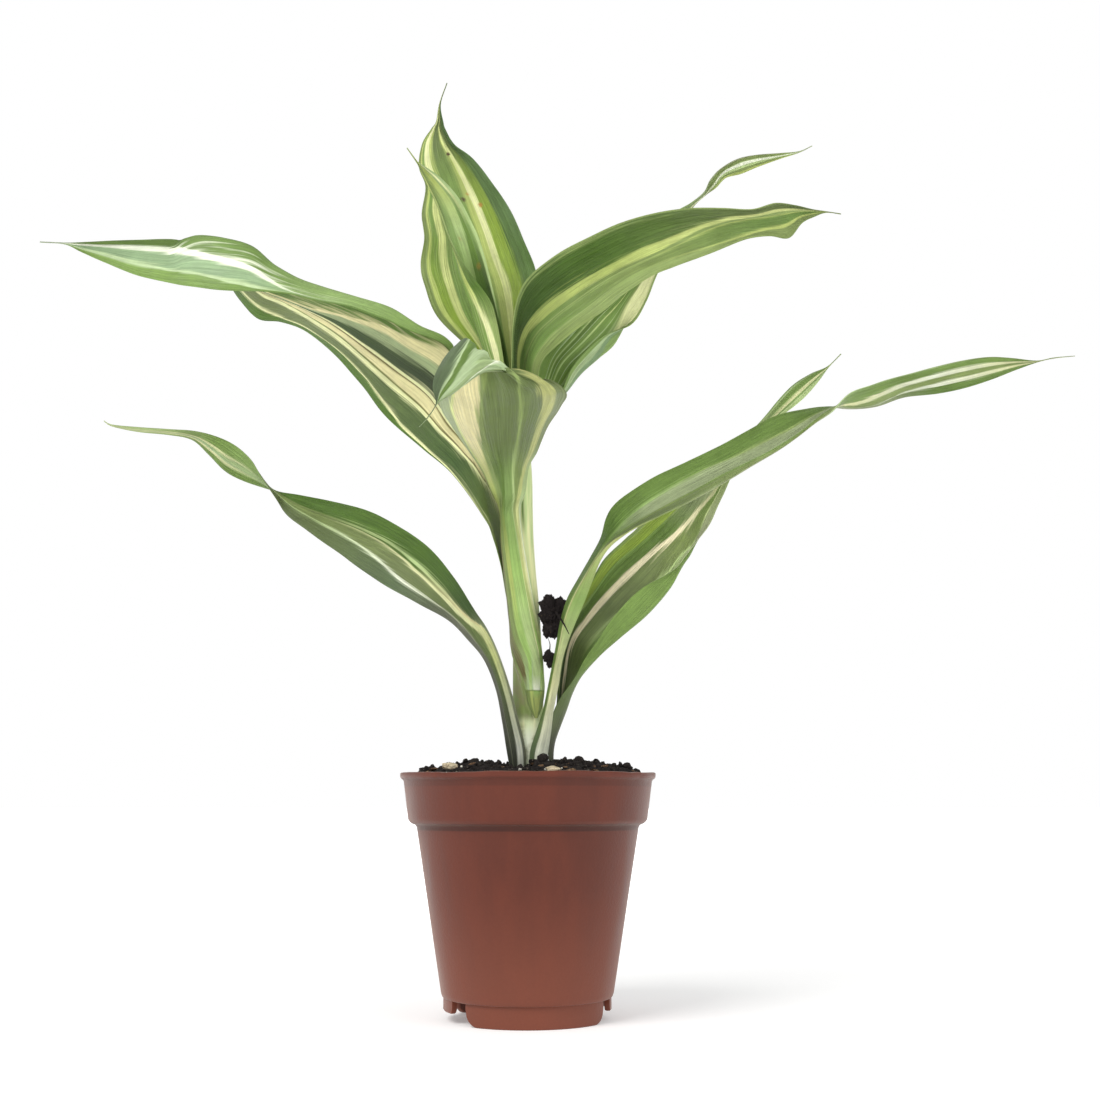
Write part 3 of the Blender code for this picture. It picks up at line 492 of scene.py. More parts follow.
RIGHT_BROAD = (
    ((550.5, 774, -1.5), (553, 775, -0.5), (553, 775, 0.8), (550.5, 774, 2)),
    ((548, 745, -2), (553, 745, -0.5), (554, 745, 1), (551, 745, 3)),
    ((553, 712, -3), (566, 708, 0), (563, 713, 4), (556, 712, 4)),
    ((573, 680, -4), (579, 679, 0), (568, 680, 6), (558, 676, 4)),
    ((588, 656, -4), (599, 655, 0), (574, 646, 7), (563, 640, 3)),
    ((604, 630, -5), (621, 636, -1), (590, 620, 7), (574, 611, 2)),
    ((624, 605, -6), (648, 613, -2), (609, 596, 6), (589, 585, 1)),
    ((645, 586, -6), (670, 587, -3), (628, 577, 5), (603, 561, 0)),
    ((673, 570, -7), (682, 563, -4), (650, 556, 4), (623, 541, -1)),
    ((686, 556, -7.5), (689, 552, -4.5), (662, 544.5, 3.5), (634, 531, -1.5)),
    ((699, 539, -7.5), (695, 537, -4.5), (675, 530.5, 2.5), (645, 520, -2)),
    ((712, 518, -7.5), (704, 515, -2.5), (690, 511, 1.5), (668, 499, -3)),
    ((723, 495, -7.5), (716, 492, -3.5), (706, 487, -0.5), (691, 478, -3)),
    ((732, 476, -8), (727, 473, -5), (720, 468, -3), (712, 461, -4)),
    ((748, 455, -8), (745, 452, -6.5), (740, 448, -5), (735, 444, -5)),
    ((763, 436, -9), (760, 434, -7.5), (757, 431, -6.5), (753, 429, -6)),
    ((777, 420, -9), (774, 418, -8), (770, 416, -7.3), (766, 415, -7)),
    ((796, 405, -10), (791, 402, -9), (786, 399, -8), (780, 398, -8)),
    ((808.5, 393, -10), (804, 389.5, -9), (799, 386, -9), (794, 384, -9)),
    ((819, 381, -10), (816.5, 378, -10), (814, 375, -10), (811, 373.5, -10)),
    ((828, 367, -10),),
    ((841, 354, -10),),
)

# Each leaf's rails, the sheath that it starts in, and how far back its tip leans, beyond its drawn
# depths, in mm
LEAVES = {
    "leaf_upper_left": (UPPER_LEFT, (), 0.0),
    "leaf_lower_left": (LOWER_LEFT, (), 0.0),
    "leaf_top": (TOP, TOP_SHEATH, 12.0),
    "leaf_young": (YOUNG, (), 5.0),
    "leaf_upper_right": (UPPER_RIGHT, UPPER_RIGHT_SHEATH, -10.0),
    "leaf_behind_right": (BEHIND_RIGHT, BEHIND_RIGHT_SHEATH, 22.0),
    "leaf_crown_front": (CROWN_FRONT, CROWN_SHEATH, 0.0),
    "leaf_lower_right": (LOWER_RIGHT, (), 0.0),
    "leaf_right_broad": (RIGHT_BROAD, (), 16.0),
}

# Colours, as a picture editor gives them, from 0 to 255
PAINT = {
    "white": (240, 245, 220),
    "cream": (224, 226, 170),
    "beige": (216, 208, 156),
    "straw": (202, 210, 136),
    "yellow": (178, 192, 108),
    "hay": (176, 180, 112),
    "pale": (186, 208, 142),
    "mint": (180, 201, 152),
    "sage": (160, 182, 126),
    "fern": (140, 168, 98),
    "lime": (136, 160, 60),
    "bright": (120, 149, 74),
    "leaf": (102, 130, 60),
    "deep": (78, 109, 38),
    "dark": (60, 84, 38),
    "moss": (98, 114, 64),
    "spruce": (86, 113, 64),
    "spring": (160, 194, 108),
    "olive": (120, 137, 76),
    "dull": (115, 128, 81),
    "khaki": (138, 157, 92),
    "grey": (150, 164, 120),
    "slate": (92, 110, 76),
    "blue": (136, 162, 120),
    "mist": (164, 170, 136),
    "brown": (112, 104, 62),
    "umber": (124, 126, 84),
    "bone": (216, 219, 203),
    "ivory": (250, 238, 200),
    "ash": (104, 107, 88),
    "black": (52, 55, 44),
    "rust": (176, 128, 62),
    "scab": (78, 62, 38),
}

# Each leaf's stripes from its first rail to its last. A side's colours are given at some rows, and
# blend between them: leaf*3 stands for three bands of that colour. The edges between the bands are
# percent of the leaf's width at some rows, and stay the same before the first and past the last.
STRIPES = {
    "leaf_upper_left": {
        "upper": (
            (5, "leaf cream leaf cream pale beige pale cream leaf*2 beige bright*3 leaf*2"),
            (8, "leaf cream leaf cream pale beige pale cream leaf*2 beige fern*3 bright leaf"),
            (11.5, "leaf*2 fern*8 leaf*2 white blue mint leaf"),
            (17, "leaf*12 white blue mint bright"),
        ),
        "under": (
            (0, "moss khaki olive umber moss umber moss khaki moss olive*2 bright*2 olive khaki moss"),
            # Painted shade: the ninth band, black and then dark, is the shaded far half past the fold, and
            # the deep bands after the second beige band are the shade under the fold-over ribbon
            (3, "deep cream dark cream brown beige brown cream black grey beige deep*3 leaf*2"),
            (10, "deep cream dull cream olive beige brown cream dark grey beige deep*2 leaf*3"),
        ),
        "edges": (
            (0, 0.6, 1.2, 80, 82, 83, 90, 91, 93, 94, 95, 96, 97, 97.5, 98, 98.5),
            (1, 0.6, 1.2, 72, 75, 77, 85, 86, 88, 91, 93, 95, 97, 97.5, 98, 98.5),
            (2, 0.6, 1.2, 30, 33, 34.5, 41, 42, 44, 55, 62, 67, 96, 96.5, 97, 98),
            (3, 0.6, 1.2, 20, 22.2, 23.2, 28, 28.8, 31, 42, 48, 62, 96, 96.5, 97, 98),
            (5, 2, 3.5, 16.8, 19, 20, 27.2, 28, 30, 41, 47, 60, 96, 96.5, 97, 98),
            (6, 6, 7.5, 17, 20, 21, 27.2, 28, 30.2, 41, 46, 55, 96, 96.5, 97, 98),
            (7, 8, 8.6, 17, 20.5, 22, 27.2, 28.4, 30.2, 38.5, 45, 49, 96, 96.5, 97, 98),
            (8, 8.5, 9, 16.8, 22, 23.5, 28.3, 29.2, 31, 35.5, 39.5, 42.5, 96, 96.5, 97, 98),
            (9, 5, 6, 19, 24, 25, 30, 30.5, 31.5, 33, 34, 36, 96, 96.5, 97, 98),
            (10, 6, 8, 26, 31, 31.5, 33.5, 34, 34.5, 35, 36, 37, 96, 97.5, 98, 98.5),
            (11, 15, 18, 30, 33, 33.5, 34, 34.5, 35, 35.5, 36, 37, 86, 90, 97, 98.5),
            (12, 14, 17, 30, 32, 32.5, 33, 33.5, 34, 34.5, 35, 36, 84, 88, 95, 97),
            (14, 10, 12, 25, 27, 27.5, 28, 28.5, 29, 29.5, 30, 31, 78.4, 82.7, 91, 92.5),
            (15, 8, 10, 20, 21, 21.5, 22, 22.5, 23, 23.5, 24, 25, 74.5, 80, 90.5, 92),
            (15.5, 5, 6, 11, 12, 13, 14, 15, 16, 16.5, 17, 18, 68.5, 75, 88.5, 90),
            (16, 1, 2, 3, 4, 4.5, 5, 5.5, 6, 6.5, 7, 8, 53, 67, 86.5, 88.5),
            (18, 1, 2, 3, 4, 4.5, 5, 5.5, 6, 6.5, 7, 8, 44, 66, 80, 88),
            (21, 1, 2, 3, 4, 4.5, 5, 5.5, 6, 6.5, 7, 8, 40, 64, 80, 88),
        ),
    },
    "leaf_lower_left": {
        "upper": (
            (1, "ash bone white bone black ash black"),
            (4, "mist straw cream straw moss ash*2"),
            (6, "dark beige*2 cream moss mist ash"),
            (8, "deep pale deep cream dull white slate"),
            (11, "deep olive moss olive*2 pale moss"),
        ),
        "under": (
            (14, "bright sage*5 fern"),
            (17, "bright cream mint*2 sage cream bright"),
            (20, "pale cream*2 mint*2 cream pale"),
        ),
        "edges": (
            (0, 18, 24, 25, 55, 78, 80),
            (2, 20, 28, 29, 48, 76, 79),
            (4, 14, 22, 23, 42, 72, 74),
            (5, 6, 12, 13, 28, 62, 65),
            (6, 41, 46, 47, 61, 73, 76),
            (7, 47, 52, 57, 62, 80, 83),
            (8, 44, 49, 54, 58, 80, 83.5),
            (9, 36, 41, 45, 47.5, 70, 74),
            (10, 33, 38, 39, 42, 61, 64),
            (12, 38, 42, 43, 46, 55, 58),
            (15, 31, 40, 41, 43, 60, 66),
            (17, 22, 32, 33, 35, 45, 53),
            (22, 22, 36, 37, 38, 50, 60),
        ),
    },
    "leaf_top": {
        "upper": (
            (4, "deep lime straw yellow*2 bright*2 straw lime yellow olive"),
            (8, "spruce lime cream yellow*2 bright olive straw bright yellow olive"),
            (11, "spruce moss straw yellow olive moss yellow cream bright yellow olive"),
        ),
        "under": ((0, "dull olive cream dull grey olive grey beige olive cream dull"),),
        "edges": (
            (0, 20, 42, 48, 49, 54, 76, 80, 86, 92, 95),
            (3, 21, 42, 50, 51, 56, 78, 82, 87, 92, 95),
            (5, 22, 40, 48, 49, 55, 77, 82, 87, 93, 96),
            (6, 24, 42, 49.5, 50.5, 56, 79, 83, 88, 93.5, 96),
            (8, 25, 42, 50, 51, 56, 80, 84.5, 90, 94.5, 96.5),
            (10, 30, 47, 54, 55, 58, 80, 84, 92, 95, 97),
            (11, 35, 55, 62, 63, 66, 80, 85, 93, 95, 97),
            (15, 38, 56, 64, 65, 68, 80, 85, 93, 95, 97),
        ),
    },
    "leaf_young": {
        "upper": (
            (4, "bright leaf*2 pale bright cream khaki"),
            # Painted shadow: at this row the dark second band and deep third band are the shade inside the
            # roll, where its front wrap overlaps
            (5.6, "pale dark deep bright*2 yellow deep"),
            (8, "pale fern bright pale fern khaki*2"),
            (10, "sage cream sage yellow khaki*2 yellow"),
        ),
        "under": (
            (4, "bright leaf*2 pale bright cream khaki"),
            # Painted shadow here too: the dark and deep second and third bands are the shade inside the
            # roll
            (5.6, "pale dark deep bright*2 yellow deep"),
            (8, "pale fern bright pale sage khaki*2"),
            (10, "sage cream sage yellow*2 khaki yellow"),
        ),
        "edges": (
            (0, 2, 8, 13, 38, 86, 94),
            (3, 2, 8, 14, 39, 86, 94),
            (4, 2, 10, 26, 43, 82, 88),
            (5, 3, 8, 36, 46, 77, 84),
            (7, 6, 16, 28, 50, 80, 86),
            (9, 8, 14, 19, 46, 80, 90),
            (13, 8, 16, 20, 46, 80, 90),
        ),
    },
    "leaf_upper_right": {
        "upper": (
            (4, "olive khaki leaf khaki leaf yellow dark khaki"),
            (8, "khaki*2 olive khaki olive yellow deep khaki"),
            (13, "olive yellow leaf yellow khaki straw moss khaki"),
        ),
        "under": ((0, "dull pale olive pale olive yellow leaf pale"),),
        "edges": (
            (3, 14, 16, 33, 34, 46, 62, 98),
            (5, 12.5, 15, 30, 31.5, 38, 50.5, 97.5),
            (7, 12, 15, 28, 30, 36, 50, 97.5),
            (9, 14, 16, 27, 29, 33, 49, 97),
            (10, 12, 14, 32, 34, 39, 52, 97),
            (11, 8, 10, 41, 43, 49, 58, 97),
            (12, 6, 10, 50, 52, 57, 68, 97),
            (13, 17, 24, 60, 61, 68, 78, 97),
            (14, 24, 31, 55, 56, 66, 74, 97),
            (18, 24, 36, 50, 51, 60, 70, 97),
        ),
    },
    "leaf_behind_right": {
        "upper": (
            (5, "leaf*4 sage bright mint bright pale bright mint leaf pale bright mint bright"),
            (7, "khaki*3 cream olive leaf khaki leaf straw leaf khaki leaf straw bright khaki bright"),
            (11, "khaki*3 cream olive leaf*3 khaki leaf*3 khaki bright*3"),
            (15, "yellow khaki pale white pale khaki olive khaki "
                 "olive khaki olive khaki olive khaki*2 mist"),
        ),
        "under": ((0, "fern mint blue fern olive dull*3 pale dull*3 pale dull*3"),),
        "edges": (
            (0, 8, 18, 30, 46, 48, 53, 54, 60, 61.5, 66, 67, 72, 73.5, 80, 81),
            (5, 8, 17, 28, 46, 50, 54.5, 55.3, 62, 63.5, 68.5, 69.3, 75, 76.5, 82, 83),
            (6, 3, 6, 10, 46, 50, 54.5, 55.3, 62, 63.5, 68.5, 69.3, 75, 76.5, 82, 83),
            (7, 2, 4, 6, 46, 50, 53.5, 54.3, 60, 61, 66, 66.8, 72, 73, 81, 82),
            (9, 1.5, 3, 5, 42, 46, 52, 52.8, 60, 61, 66, 66.8, 72, 73, 81, 82),
            (12, 10, 20, 30, 50, 52, 57, 57.8, 65, 66, 72, 72.8, 80, 81, 88, 89),
            (14, 12, 24, 36, 50, 52, 57, 57.8, 65, 66, 72, 72.8, 80, 81, 88, 89),
            (16, 16, 32, 48, 64, 66, 70, 70.8, 75, 76, 79, 80, 85, 86, 92, 93),
            (18, 14, 28, 42, 58, 60, 64, 64.8, 70, 71, 76, 77, 82, 83, 90, 91),
            (20, 13, 26, 40, 58, 60, 64, 64.8, 70, 71, 76, 77, 82, 83, 90, 91),
        ),
    },
    "leaf_crown_front": {
        "upper": ((17, "slate mint leaf mint sage white mint*2 sage grey mist"),),
        "under": (
            (1.4, "moss olive khaki*2 yellow khaki yellow*2 khaki*2 olive"),
            (1.82, "moss olive*2 khaki yellow*2 spring*2 yellow khaki olive"),
            (1.88, "moss olive*4 bright*4 olive moss"),
            (1.96, "olive khaki sage mint pale mint white mint pale sage*2"),
            (3, "khaki*2 brown sage spring mint pale*2 spring*2 khaki"),
            (5, "olive khaki umber khaki spring*2 pale cream spring khaki yellow"),
            (8, "khaki olive umber khaki yellow spring*2 pale straw cream white"),
            (11, "olive khaki yellow khaki leaf*2 fern pale khaki straw pale"),
            (13.5, "grey straw beige olive moss*3 khaki moss hay dull"),
        ),
        "edges": (
            (0, 2, 4, 10, 20, 40, 42, 70, 71, 85, 98),
            (2, 2, 4, 10, 16, 26, 30, 62, 64, 80, 96),
            (4, 2, 5, 32, 47, 58, 62, 84, 85.5, 91, 98),
            (7, 2, 5, 36, 50, 62, 64, 86, 87, 93, 98.5),
            (9, 2, 5, 38, 50, 63, 65, 86, 87, 93, 98.5),
            (10, 2, 5, 36, 44, 52, 57, 80, 82, 88, 97),
            (11, 3, 6, 27, 40, 44, 46, 60, 63.5, 68, 77),
            (12, 6, 9, 26, 35, 49, 50.5, 62, 65, 84, 93),
            (13, 7, 10, 30, 36, 50, 51.5, 64, 66.5, 87, 94),
            (14, 9, 12, 34, 38, 50, 51.5, 66, 68.5, 86, 94),
            (15, 12, 15, 38, 40, 50, 51.5, 65, 67, 82, 92),
            (16, 20, 24, 42, 44, 52, 53, 65, 67, 79, 90),
            (18, 28, 31, 42, 58, 70, 71, 80, 82, 90, 96),
            (19, 36, 39, 50, 68, 80, 81, 86, 87, 93, 97),
            (20, 46, 50, 60, 76, 87, 88, 91, 92, 95, 98),
        ),
    },
    "leaf_lower_right": {
        "upper": (
            (22, "mist sage khaki cream bright sage"),
            (25, "leaf white khaki white bright sage"),
            (28, "bright cream khaki cream bright khaki"),
        ),
        "under": (
            (1, "slate white*5"),
            (4, "leaf straw*2 cream*3"),
            (8, "leaf spring straw ivory straw spring"),
            (11, "deep leaf*3 moss straw"),
            (14, "leaf fern grey olive moss khaki"),
            (18, "leaf khaki grey bright khaki mist"),
        ),
        "edges": (
            (0, 30, 32, 34, 36, 38),
            (4, 34, 36, 38, 40, 42),
            (8, 25, 27, 29, 31, 33),
            (10, 40, 42, 44, 46, 50),
            (11, 45, 50, 55, 62, 74),
            (12, 44, 47, 64, 72, 91),
            (13, 42, 45, 70, 76, 94),
            (15, 39, 42, 74, 78, 96),
            (16.5, 35.5, 39, 72, 76, 95.5),
            (18, 50, 54, 85, 88, 97),
            (20, 60, 64, 90, 92, 98),
            (21, 50, 53, 70, 76, 97),
            (22, 4, 5, 12, 30, 98),
            (23, 10, 12, 42, 58, 98),
            (24, 22, 26, 48, 63, 98),
            (25, 27, 40, 60, 76, 98),
            (28, 26, 42, 58, 72, 98),
        ),
    },
    "leaf_right_broad": {
        "upper": (
            (1, "black*4 ash*4"),
            (3.6, "leaf moss*2 ivory dark pale leaf*2"),
            (6, "fern pale dull ivory leaf bright lime leaf"),
            (10, "mist pale olive ivory leaf bright lime khaki"),
            (13, "khaki cream leaf khaki mist cream khaki fern"),
            (17, "pale sage fern cream bright*2 sage bright"),
        ),
        "under": (
            (1, "ash*2 black slate black slate*2 ash"),
            (3.6, "bright pale dull cream leaf pale olive beige"),
        ),
        "edges": (
            (0, 50, 51, 85, 88, 93, 94, 97),
            (3, 50, 52, 80, 86, 94, 95, 98),
            (4, 50, 52, 70, 80, 90, 92, 98),
            (5, 52, 54, 66, 75, 88, 90, 98),
            (6, 50, 53, 64.5, 73, 86, 88, 98),
            (8, 40, 42, 64.5, 70, 84, 86, 97),
            (9, 40, 42, 63, 70, 84, 85.5, 96),
            (10, 20, 22, 57, 65, 84, 85, 97),
            (11, 25, 27, 50, 59, 82, 83, 96),
            (12, 20, 21, 30, 40, 80, 82, 96),
            (17, 20, 22, 32, 48, 80, 82, 96),
        ),
    },
}

# Ruffles across a leaf: the row they lie at, their reach in rows, the share of the width that they
# begin at, how many would fit the whole width, and their height in mm
RUFFLES = {
    "leaf_crown_front": ((17.0, 1.4, 0.42, 6.4, 1.1),),
}

# Blemishes on the upper side: the leaf's row, share of its width, radius in mm, and how strong they
# are: rusty above 0, a dark scab below it
BLEMISHES = {
    "leaf_top": (
        (10.2, 0.55, 0.7, -1.4), (8.35, 0.6, 1.3, -0.9), (8.5, 0.52, 0.8, 0.8), (8.1, 0.41, 0.9, 1.1),
    ),
    "leaf_young": ((6.4, 0.17, 1.6, 0.55), (7.6, 0.45, 1.3, 0.45)),
}


def sight(across, down, depth):
    """The place, in mm from the pot's axis on the ground, that shows there in the front view."""
    right = (across - VIEW_CENTRE) / VIEW_FOCAL
    up = (VIEW_CENTRE - down) / VIEW_FOCAL
    away = math.cos(EYE_PITCH) - up * math.sin(EYE_PITCH)
    rise = math.sin(EYE_PITCH) + up * math.cos(EYE_PITCH)
    reach = (depth + EYE_DISTANCE) / away
    return (EYE_RIGHT + right * reach, depth, EYE_HEIGHT + rise * reach)


def placed(points):
    """Places in mm from the pot's axis, in metres from the origin."""
    return (np.asarray(points, float) + (POT_X, POT_Y, 0)) * MM


def facing(bearings):
    """Level directions at bearings in degrees, counted from the front towards the right."""
    turns = np.radians(bearings)
    return np.stack([np.sin(turns), -np.cos(turns), 0 * turns], axis=-1)


def curve_through(p0, p1, p2, p3, t):
    """Catmull-Rom between p1 and p2."""
    return 0.5 * (2 * p1 + (p2 - p0) * t + (2 * p0 - 5 * p1 + 4 * p2 - p3) * t**2
                  + (3 * p1 - p0 - 3 * p2 + p3) * t**3)


def with_ends(points):
    """Points with one more at each end, straight on."""
    return np.concatenate([2 * points[:1] - points[1:2], points, 2 * points[-1:] - points[-2:-1]])


def spline(points, params):
    """Catmull-Rom values of a list of points, or of rows of points, at places counted in points."""
    points = np.asarray(points, float)
    params = np.asarray(params, float)
    first = np.minimum(params.astype(int), len(points) - 2)
    t = (params - first).reshape(-1, *[1] * (points.ndim - 1))
    padded = with_ends(points)
    return curve_through(*(padded[first + k] for k in range(4)), t)


def across_rows(rows, params):
    """For each row of points, its Catmull-Rom values at that row's own places."""
    first = np.minimum(params.astype(int), rows.shape[1] - 2)
    t = (params - first)[..., None]
    padded = with_ends(rows.swapaxes(0, 1)).swapaxes(0, 1)
    line = np.arange(len(rows))[:, None]
    return curve_through(*(padded[line, first + k] for k in range(4)), t)


def distances_along(points):
    """How far each of a list of points lies along it."""
    steps = np.linalg.norm(np.diff(points, axis=0), axis=1)
    return np.concatenate([[0], np.cumsum(steps)])


def even_params(points, count):
    """Places along a list of points, counted in points, that lie about evenly along its length."""
    travelled = distances_along(points)
    return np.interp(np.linspace(0, travelled[-1], count), travelled, np.arange(len(points)))


def smoothstep(low, high, values):
    """0 below the first value, 1 above the second, smooth between them."""
    share = np.clip((np.asarray(values, float) - low) / (high - low), 0, 1)
    return share * share * (3 - 2 * share)


def hump(values, middle, width):
    """1 where a value is at the middle, falling off to either side."""
    return np.exp(-(((values - middle) / width) ** 2))


def noise_at(points, scale, seed=0.0):
    """Smooth noise from -1 to 1 at each of a list of points, with lumps about 1 / scale across."""
    return np.array([noise.noise(Vector(p) * scale + Vector((seed, seed, seed))) for p in points])


def linear(colour):
    """A colour from 0 to 255 as the shader's own values."""
    shares = np.array(colour, float) / 255
    return (*np.where(shares <= 0.04045, shares / 12.92, ((shares + 0.055) / 1.055) ** 2.4), 1.0)


def new_piece(name, vertices, faces, materials, replaced, smooth_angle=40, picks=None):
    """A piece from points in mm from the pot's axis, riding on the root body in place of CAD nodes."""
    mesh = bpy.data.meshes.new(name)
    mesh.from_pydata(placed(vertices).tolist(), [], faces)
    for material in materials:
        mesh.materials.append(material)
    if picks is not None:
        mesh.polygons.foreach_set("material_index", np.asarray(picks, np.int32))
    mesh.shade_smooth()
    mesh.set_sharp_from_angle(angle=math.radians(smooth_angle))
    piece = bpy.data.objects.new(name, mesh)
    bpy.context.collection.objects.link(piece)
    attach(piece, "root")
    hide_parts(*replaced)
    return piece


def give(piece, name, values):
    """Stores one number for each of a piece's points, for its material to read."""
    layer = piece.data.attributes.new(name, "FLOAT", "POINT")
    layer.data.foreach_set("value", np.asarray(values, np.float32).ravel())


def grid_faces(rows, columns, start=0, flip=False):
    """The four-sided faces of a grid of points."""
    first = np.arange(rows - 1)[:, None] * columns + np.arange(columns - 1)[None, :] + start
    corners = [first, first + columns, first + columns + 1, first + 1]
    if flip:
        corners.reverse()
    return np.stack(corners, axis=-1).reshape(-1, 4)


def ring_faces(rows, sides):
    """The faces of a grid whose last column joins its first."""
    ring = np.arange(rows - 1)[:, None] * sides
    first = ring + np.arange(sides)
    after = ring + (np.arange(sides) + 1) % sides
    return np.stack([first, after, after + sides, first + sides], axis=-1).reshape(-1, 4).tolist()


def tube_faces(rows, sides):
    """The faces of a tube of rings, with a cap on each of its ends."""
    last = (rows - 1) * sides
    return [*ring_faces(rows, sides), tuple(reversed(range(sides))), tuple(range(last, last + sides))]


def join(vertices, faces, points, point_faces):
    """Adds a bit's points and faces to a piece's."""
    start = len(vertices)
    vertices += points
    faces += [tuple(start + index for index in face) for face in point_faces]


def add(tree, kind, inputs=None, **settings):
    """Adds a shader node. Each input is a value, or the socket that feeds it."""
    made = tree.nodes.new(kind)
    for key, value in settings.items():
        setattr(made, key, value)
    for key, value in (inputs or {}).items():
        if isinstance(value, bpy.types.NodeSocket):
            tree.links.new(value, made.inputs[key])
        else:
            made.inputs[key].default_value = value
    return made


def worked(tree, operation, first, second):
    """Two numbers added, subtracted or multiplied."""
    return add(tree, "ShaderNodeMath", {0: first, 1: second}, operation=operation).outputs[0]


def mixed(tree, share, first, second, blend="MIX"):
    """A colour mixed from two."""
    inputs = {0: share, 6: first, 7: second}
    return add(tree, "ShaderNodeMix", inputs, data_type="RGBA", blend_type=blend).outputs[2]


def stored(tree, name):
    """The number that each point of the piece carries under a name."""
    return add(tree, "ShaderNodeAttribute", attribute_name=name).outputs["Fac"]


def own_place(tree):
    """Where a point lies on its piece, in metres."""
    return add(tree, "ShaderNodeTexCoord").outputs["Object"]


def stretched(tree, place, scale):
    """A place with each of its directions scaled."""
    return add(tree, "ShaderNodeMapping", {"Vector": place, "Scale": scale}).outputs[0]


def speckle(tree, scale, detail=3.0, roughness=0.55, vector=None):
    """Noise from 0 to 1, with lumps about 1 / scale metres across where no vector is given."""
    if vector is None:
        vector = own_place(tree)
    inputs = {"Vector": vector, "Scale": scale, "Detail": detail, "Roughness": roughness}
    return add(tree, "ShaderNodeTexNoise", inputs).outputs["Fac"]


def spread(tree, value, low, high):
    """A value from 0 to 1 stretched between two others."""
    inputs = {"Value": value, "To Min": low, "To Max": high}
    return add(tree, "ShaderNodeMapRange", inputs).outputs["Result"]


def contrast(tree, value, low=0.3, high=0.7):
    """0 below the first value, 1 above the second, smooth between them."""
    inputs = {"Value": value, "From Min": low, "From Max": high}
    return add(tree, "ShaderNodeMapRange", inputs, interpolation_type="SMOOTHSTEP").outputs["Result"]


def shaded(tree, colour, factor):
    """A colour made lighter or darker by a factor."""
    grey = add(tree, "ShaderNodeCombineColor", {0: factor, 1: factor, 2: factor}).outputs[0]
    return mixed(tree, 1.0, colour, grey, "MULTIPLY")


def new_material(name, roughness, specular):
    """A material with its nodes and its shader."""
    material = bpy.data.materials.new(name)
    material.use_nodes = True
    shader = material.node_tree.nodes["Principled BSDF"]
    shader.inputs["Roughness"].default_value = roughness
    shader.inputs["Specular IOR Level"].default_value = specular
    return material, material.node_tree, shader


def bumped(tree, shader, height, distance):
    """Bumps on a surface, that many metres high."""
    inputs = {"Height": height, "Distance": distance, "Strength": 1.0}
    tree.links.new(add(tree, "ShaderNodeBump", inputs).outputs["Normal"], shader.inputs["Normal"])


def banded(tree, stripe, colours):
    """Flat bands of colour with soft edges, along a value from 0 to 1."""
    ramp = add(tree, "ShaderNodeValToRGB", {"Fac": stripe})
    stops = ramp.color_ramp.elements
    count = len(colours)
    stops[0].color = colours[0]
    stops[1].color = colours[-1]
    for edge in range(1, count):
        for side, colour in ((-STRIPE_SOFTNESS, colours[edge - 1]), (STRIPE_SOFTNESS, colours[edge])):
            stops.new((edge + side) / count).color = colour
    return ramp.outputs["Color"]


def streaks(tree, count, seed):
    """Noise from 0 to 1 that runs along a leaf, with about that many streaks across it."""
    vector = add(tree, "ShaderNodeCombineXYZ", {
        0: worked(tree, "MULTIPLY", stored(tree, "across"), count),
        1: worked(tree, "MULTIPLY", stored(tree, "along"), STREAK_DRAW),
        2: seed,
    }).outputs[0]
    return contrast(tree, speckle(tree, 1.0, 2.0, 0.6, vector))


def leaf_skin(name, looks, specular, seed):
    """A striped leaf surface. Its looks are rows of the leaf with the bands' colours there.

    The bands' edges are feathered, fine veins run along them, and the surface is mottled.
    """
    material, tree, shader = new_material(name, 0.4, specular)
    feathers = streaks(tree, FEATHERS, seed)
    veins = streaks(tree, VEINS, seed + 1)
    hairlines = streaks(tree, HAIRLINES, seed + 2)
    mottle = contrast(tree, speckle(tree, 150.0, 5.0, 0.65))
    fray = FEATHER / len(looks[0][1])
    stripe = worked(tree, "ADD", stored(tree, "stripe"), spread(tree, feathers, -fray, fray))
    stripe = worked(tree, "ADD", stripe, spread(tree, veins, -0.5 * fray, 0.5 * fray))
    row = stored(tree, "row")
    colour = banded(tree, stripe, looks[0][1])
    for (before, _), (after, colours) in zip(looks, looks[1:]):
        share = add(tree, "ShaderNodeMapRange", {"Value": row, "From Min": before, "From Max": after})
        colour = mixed(tree, share.outputs["Result"], colour, banded(tree, stripe, colours))
    colour = mixed(tree, spread(tree, feathers, 0.0, FEATHER_TINT), colour, linear(PAINT["olive"]))
    for marks, shades in ((veins, VEIN_SHADES), (hairlines, HAIRLINE_SHADES), (mottle, MOTTLE_SHADES)):
        colour = shaded(tree, colour, spread(tree, marks, *shades))
    broken = spread(tree, speckle(tree, 900.0), 0.3, 1.5)
    blemish = worked(tree, "MULTIPLY", stored(tree, "blemish"), broken)
    colour = mixed(tree, contrast(tree, blemish, 0.1, 0.9), colour, linear(PAINT["rust"]))
    scab = contrast(tree, worked(tree, "MULTIPLY", blemish, -1.0), 0.2, 0.9)
    colour = mixed(tree, scab, colour, linear(PAINT["scab"]))
    tree.links.new(colour, shader.inputs["Base Color"])
    tree.links.new(spread(tree, mottle, 0.36, 0.5), shader.inputs["Roughness"])
    bumped(tree, shader, worked(tree, "ADD", veins, spread(tree, hairlines, 0.0, 0.4)), LEAF_BUMP)
    return material


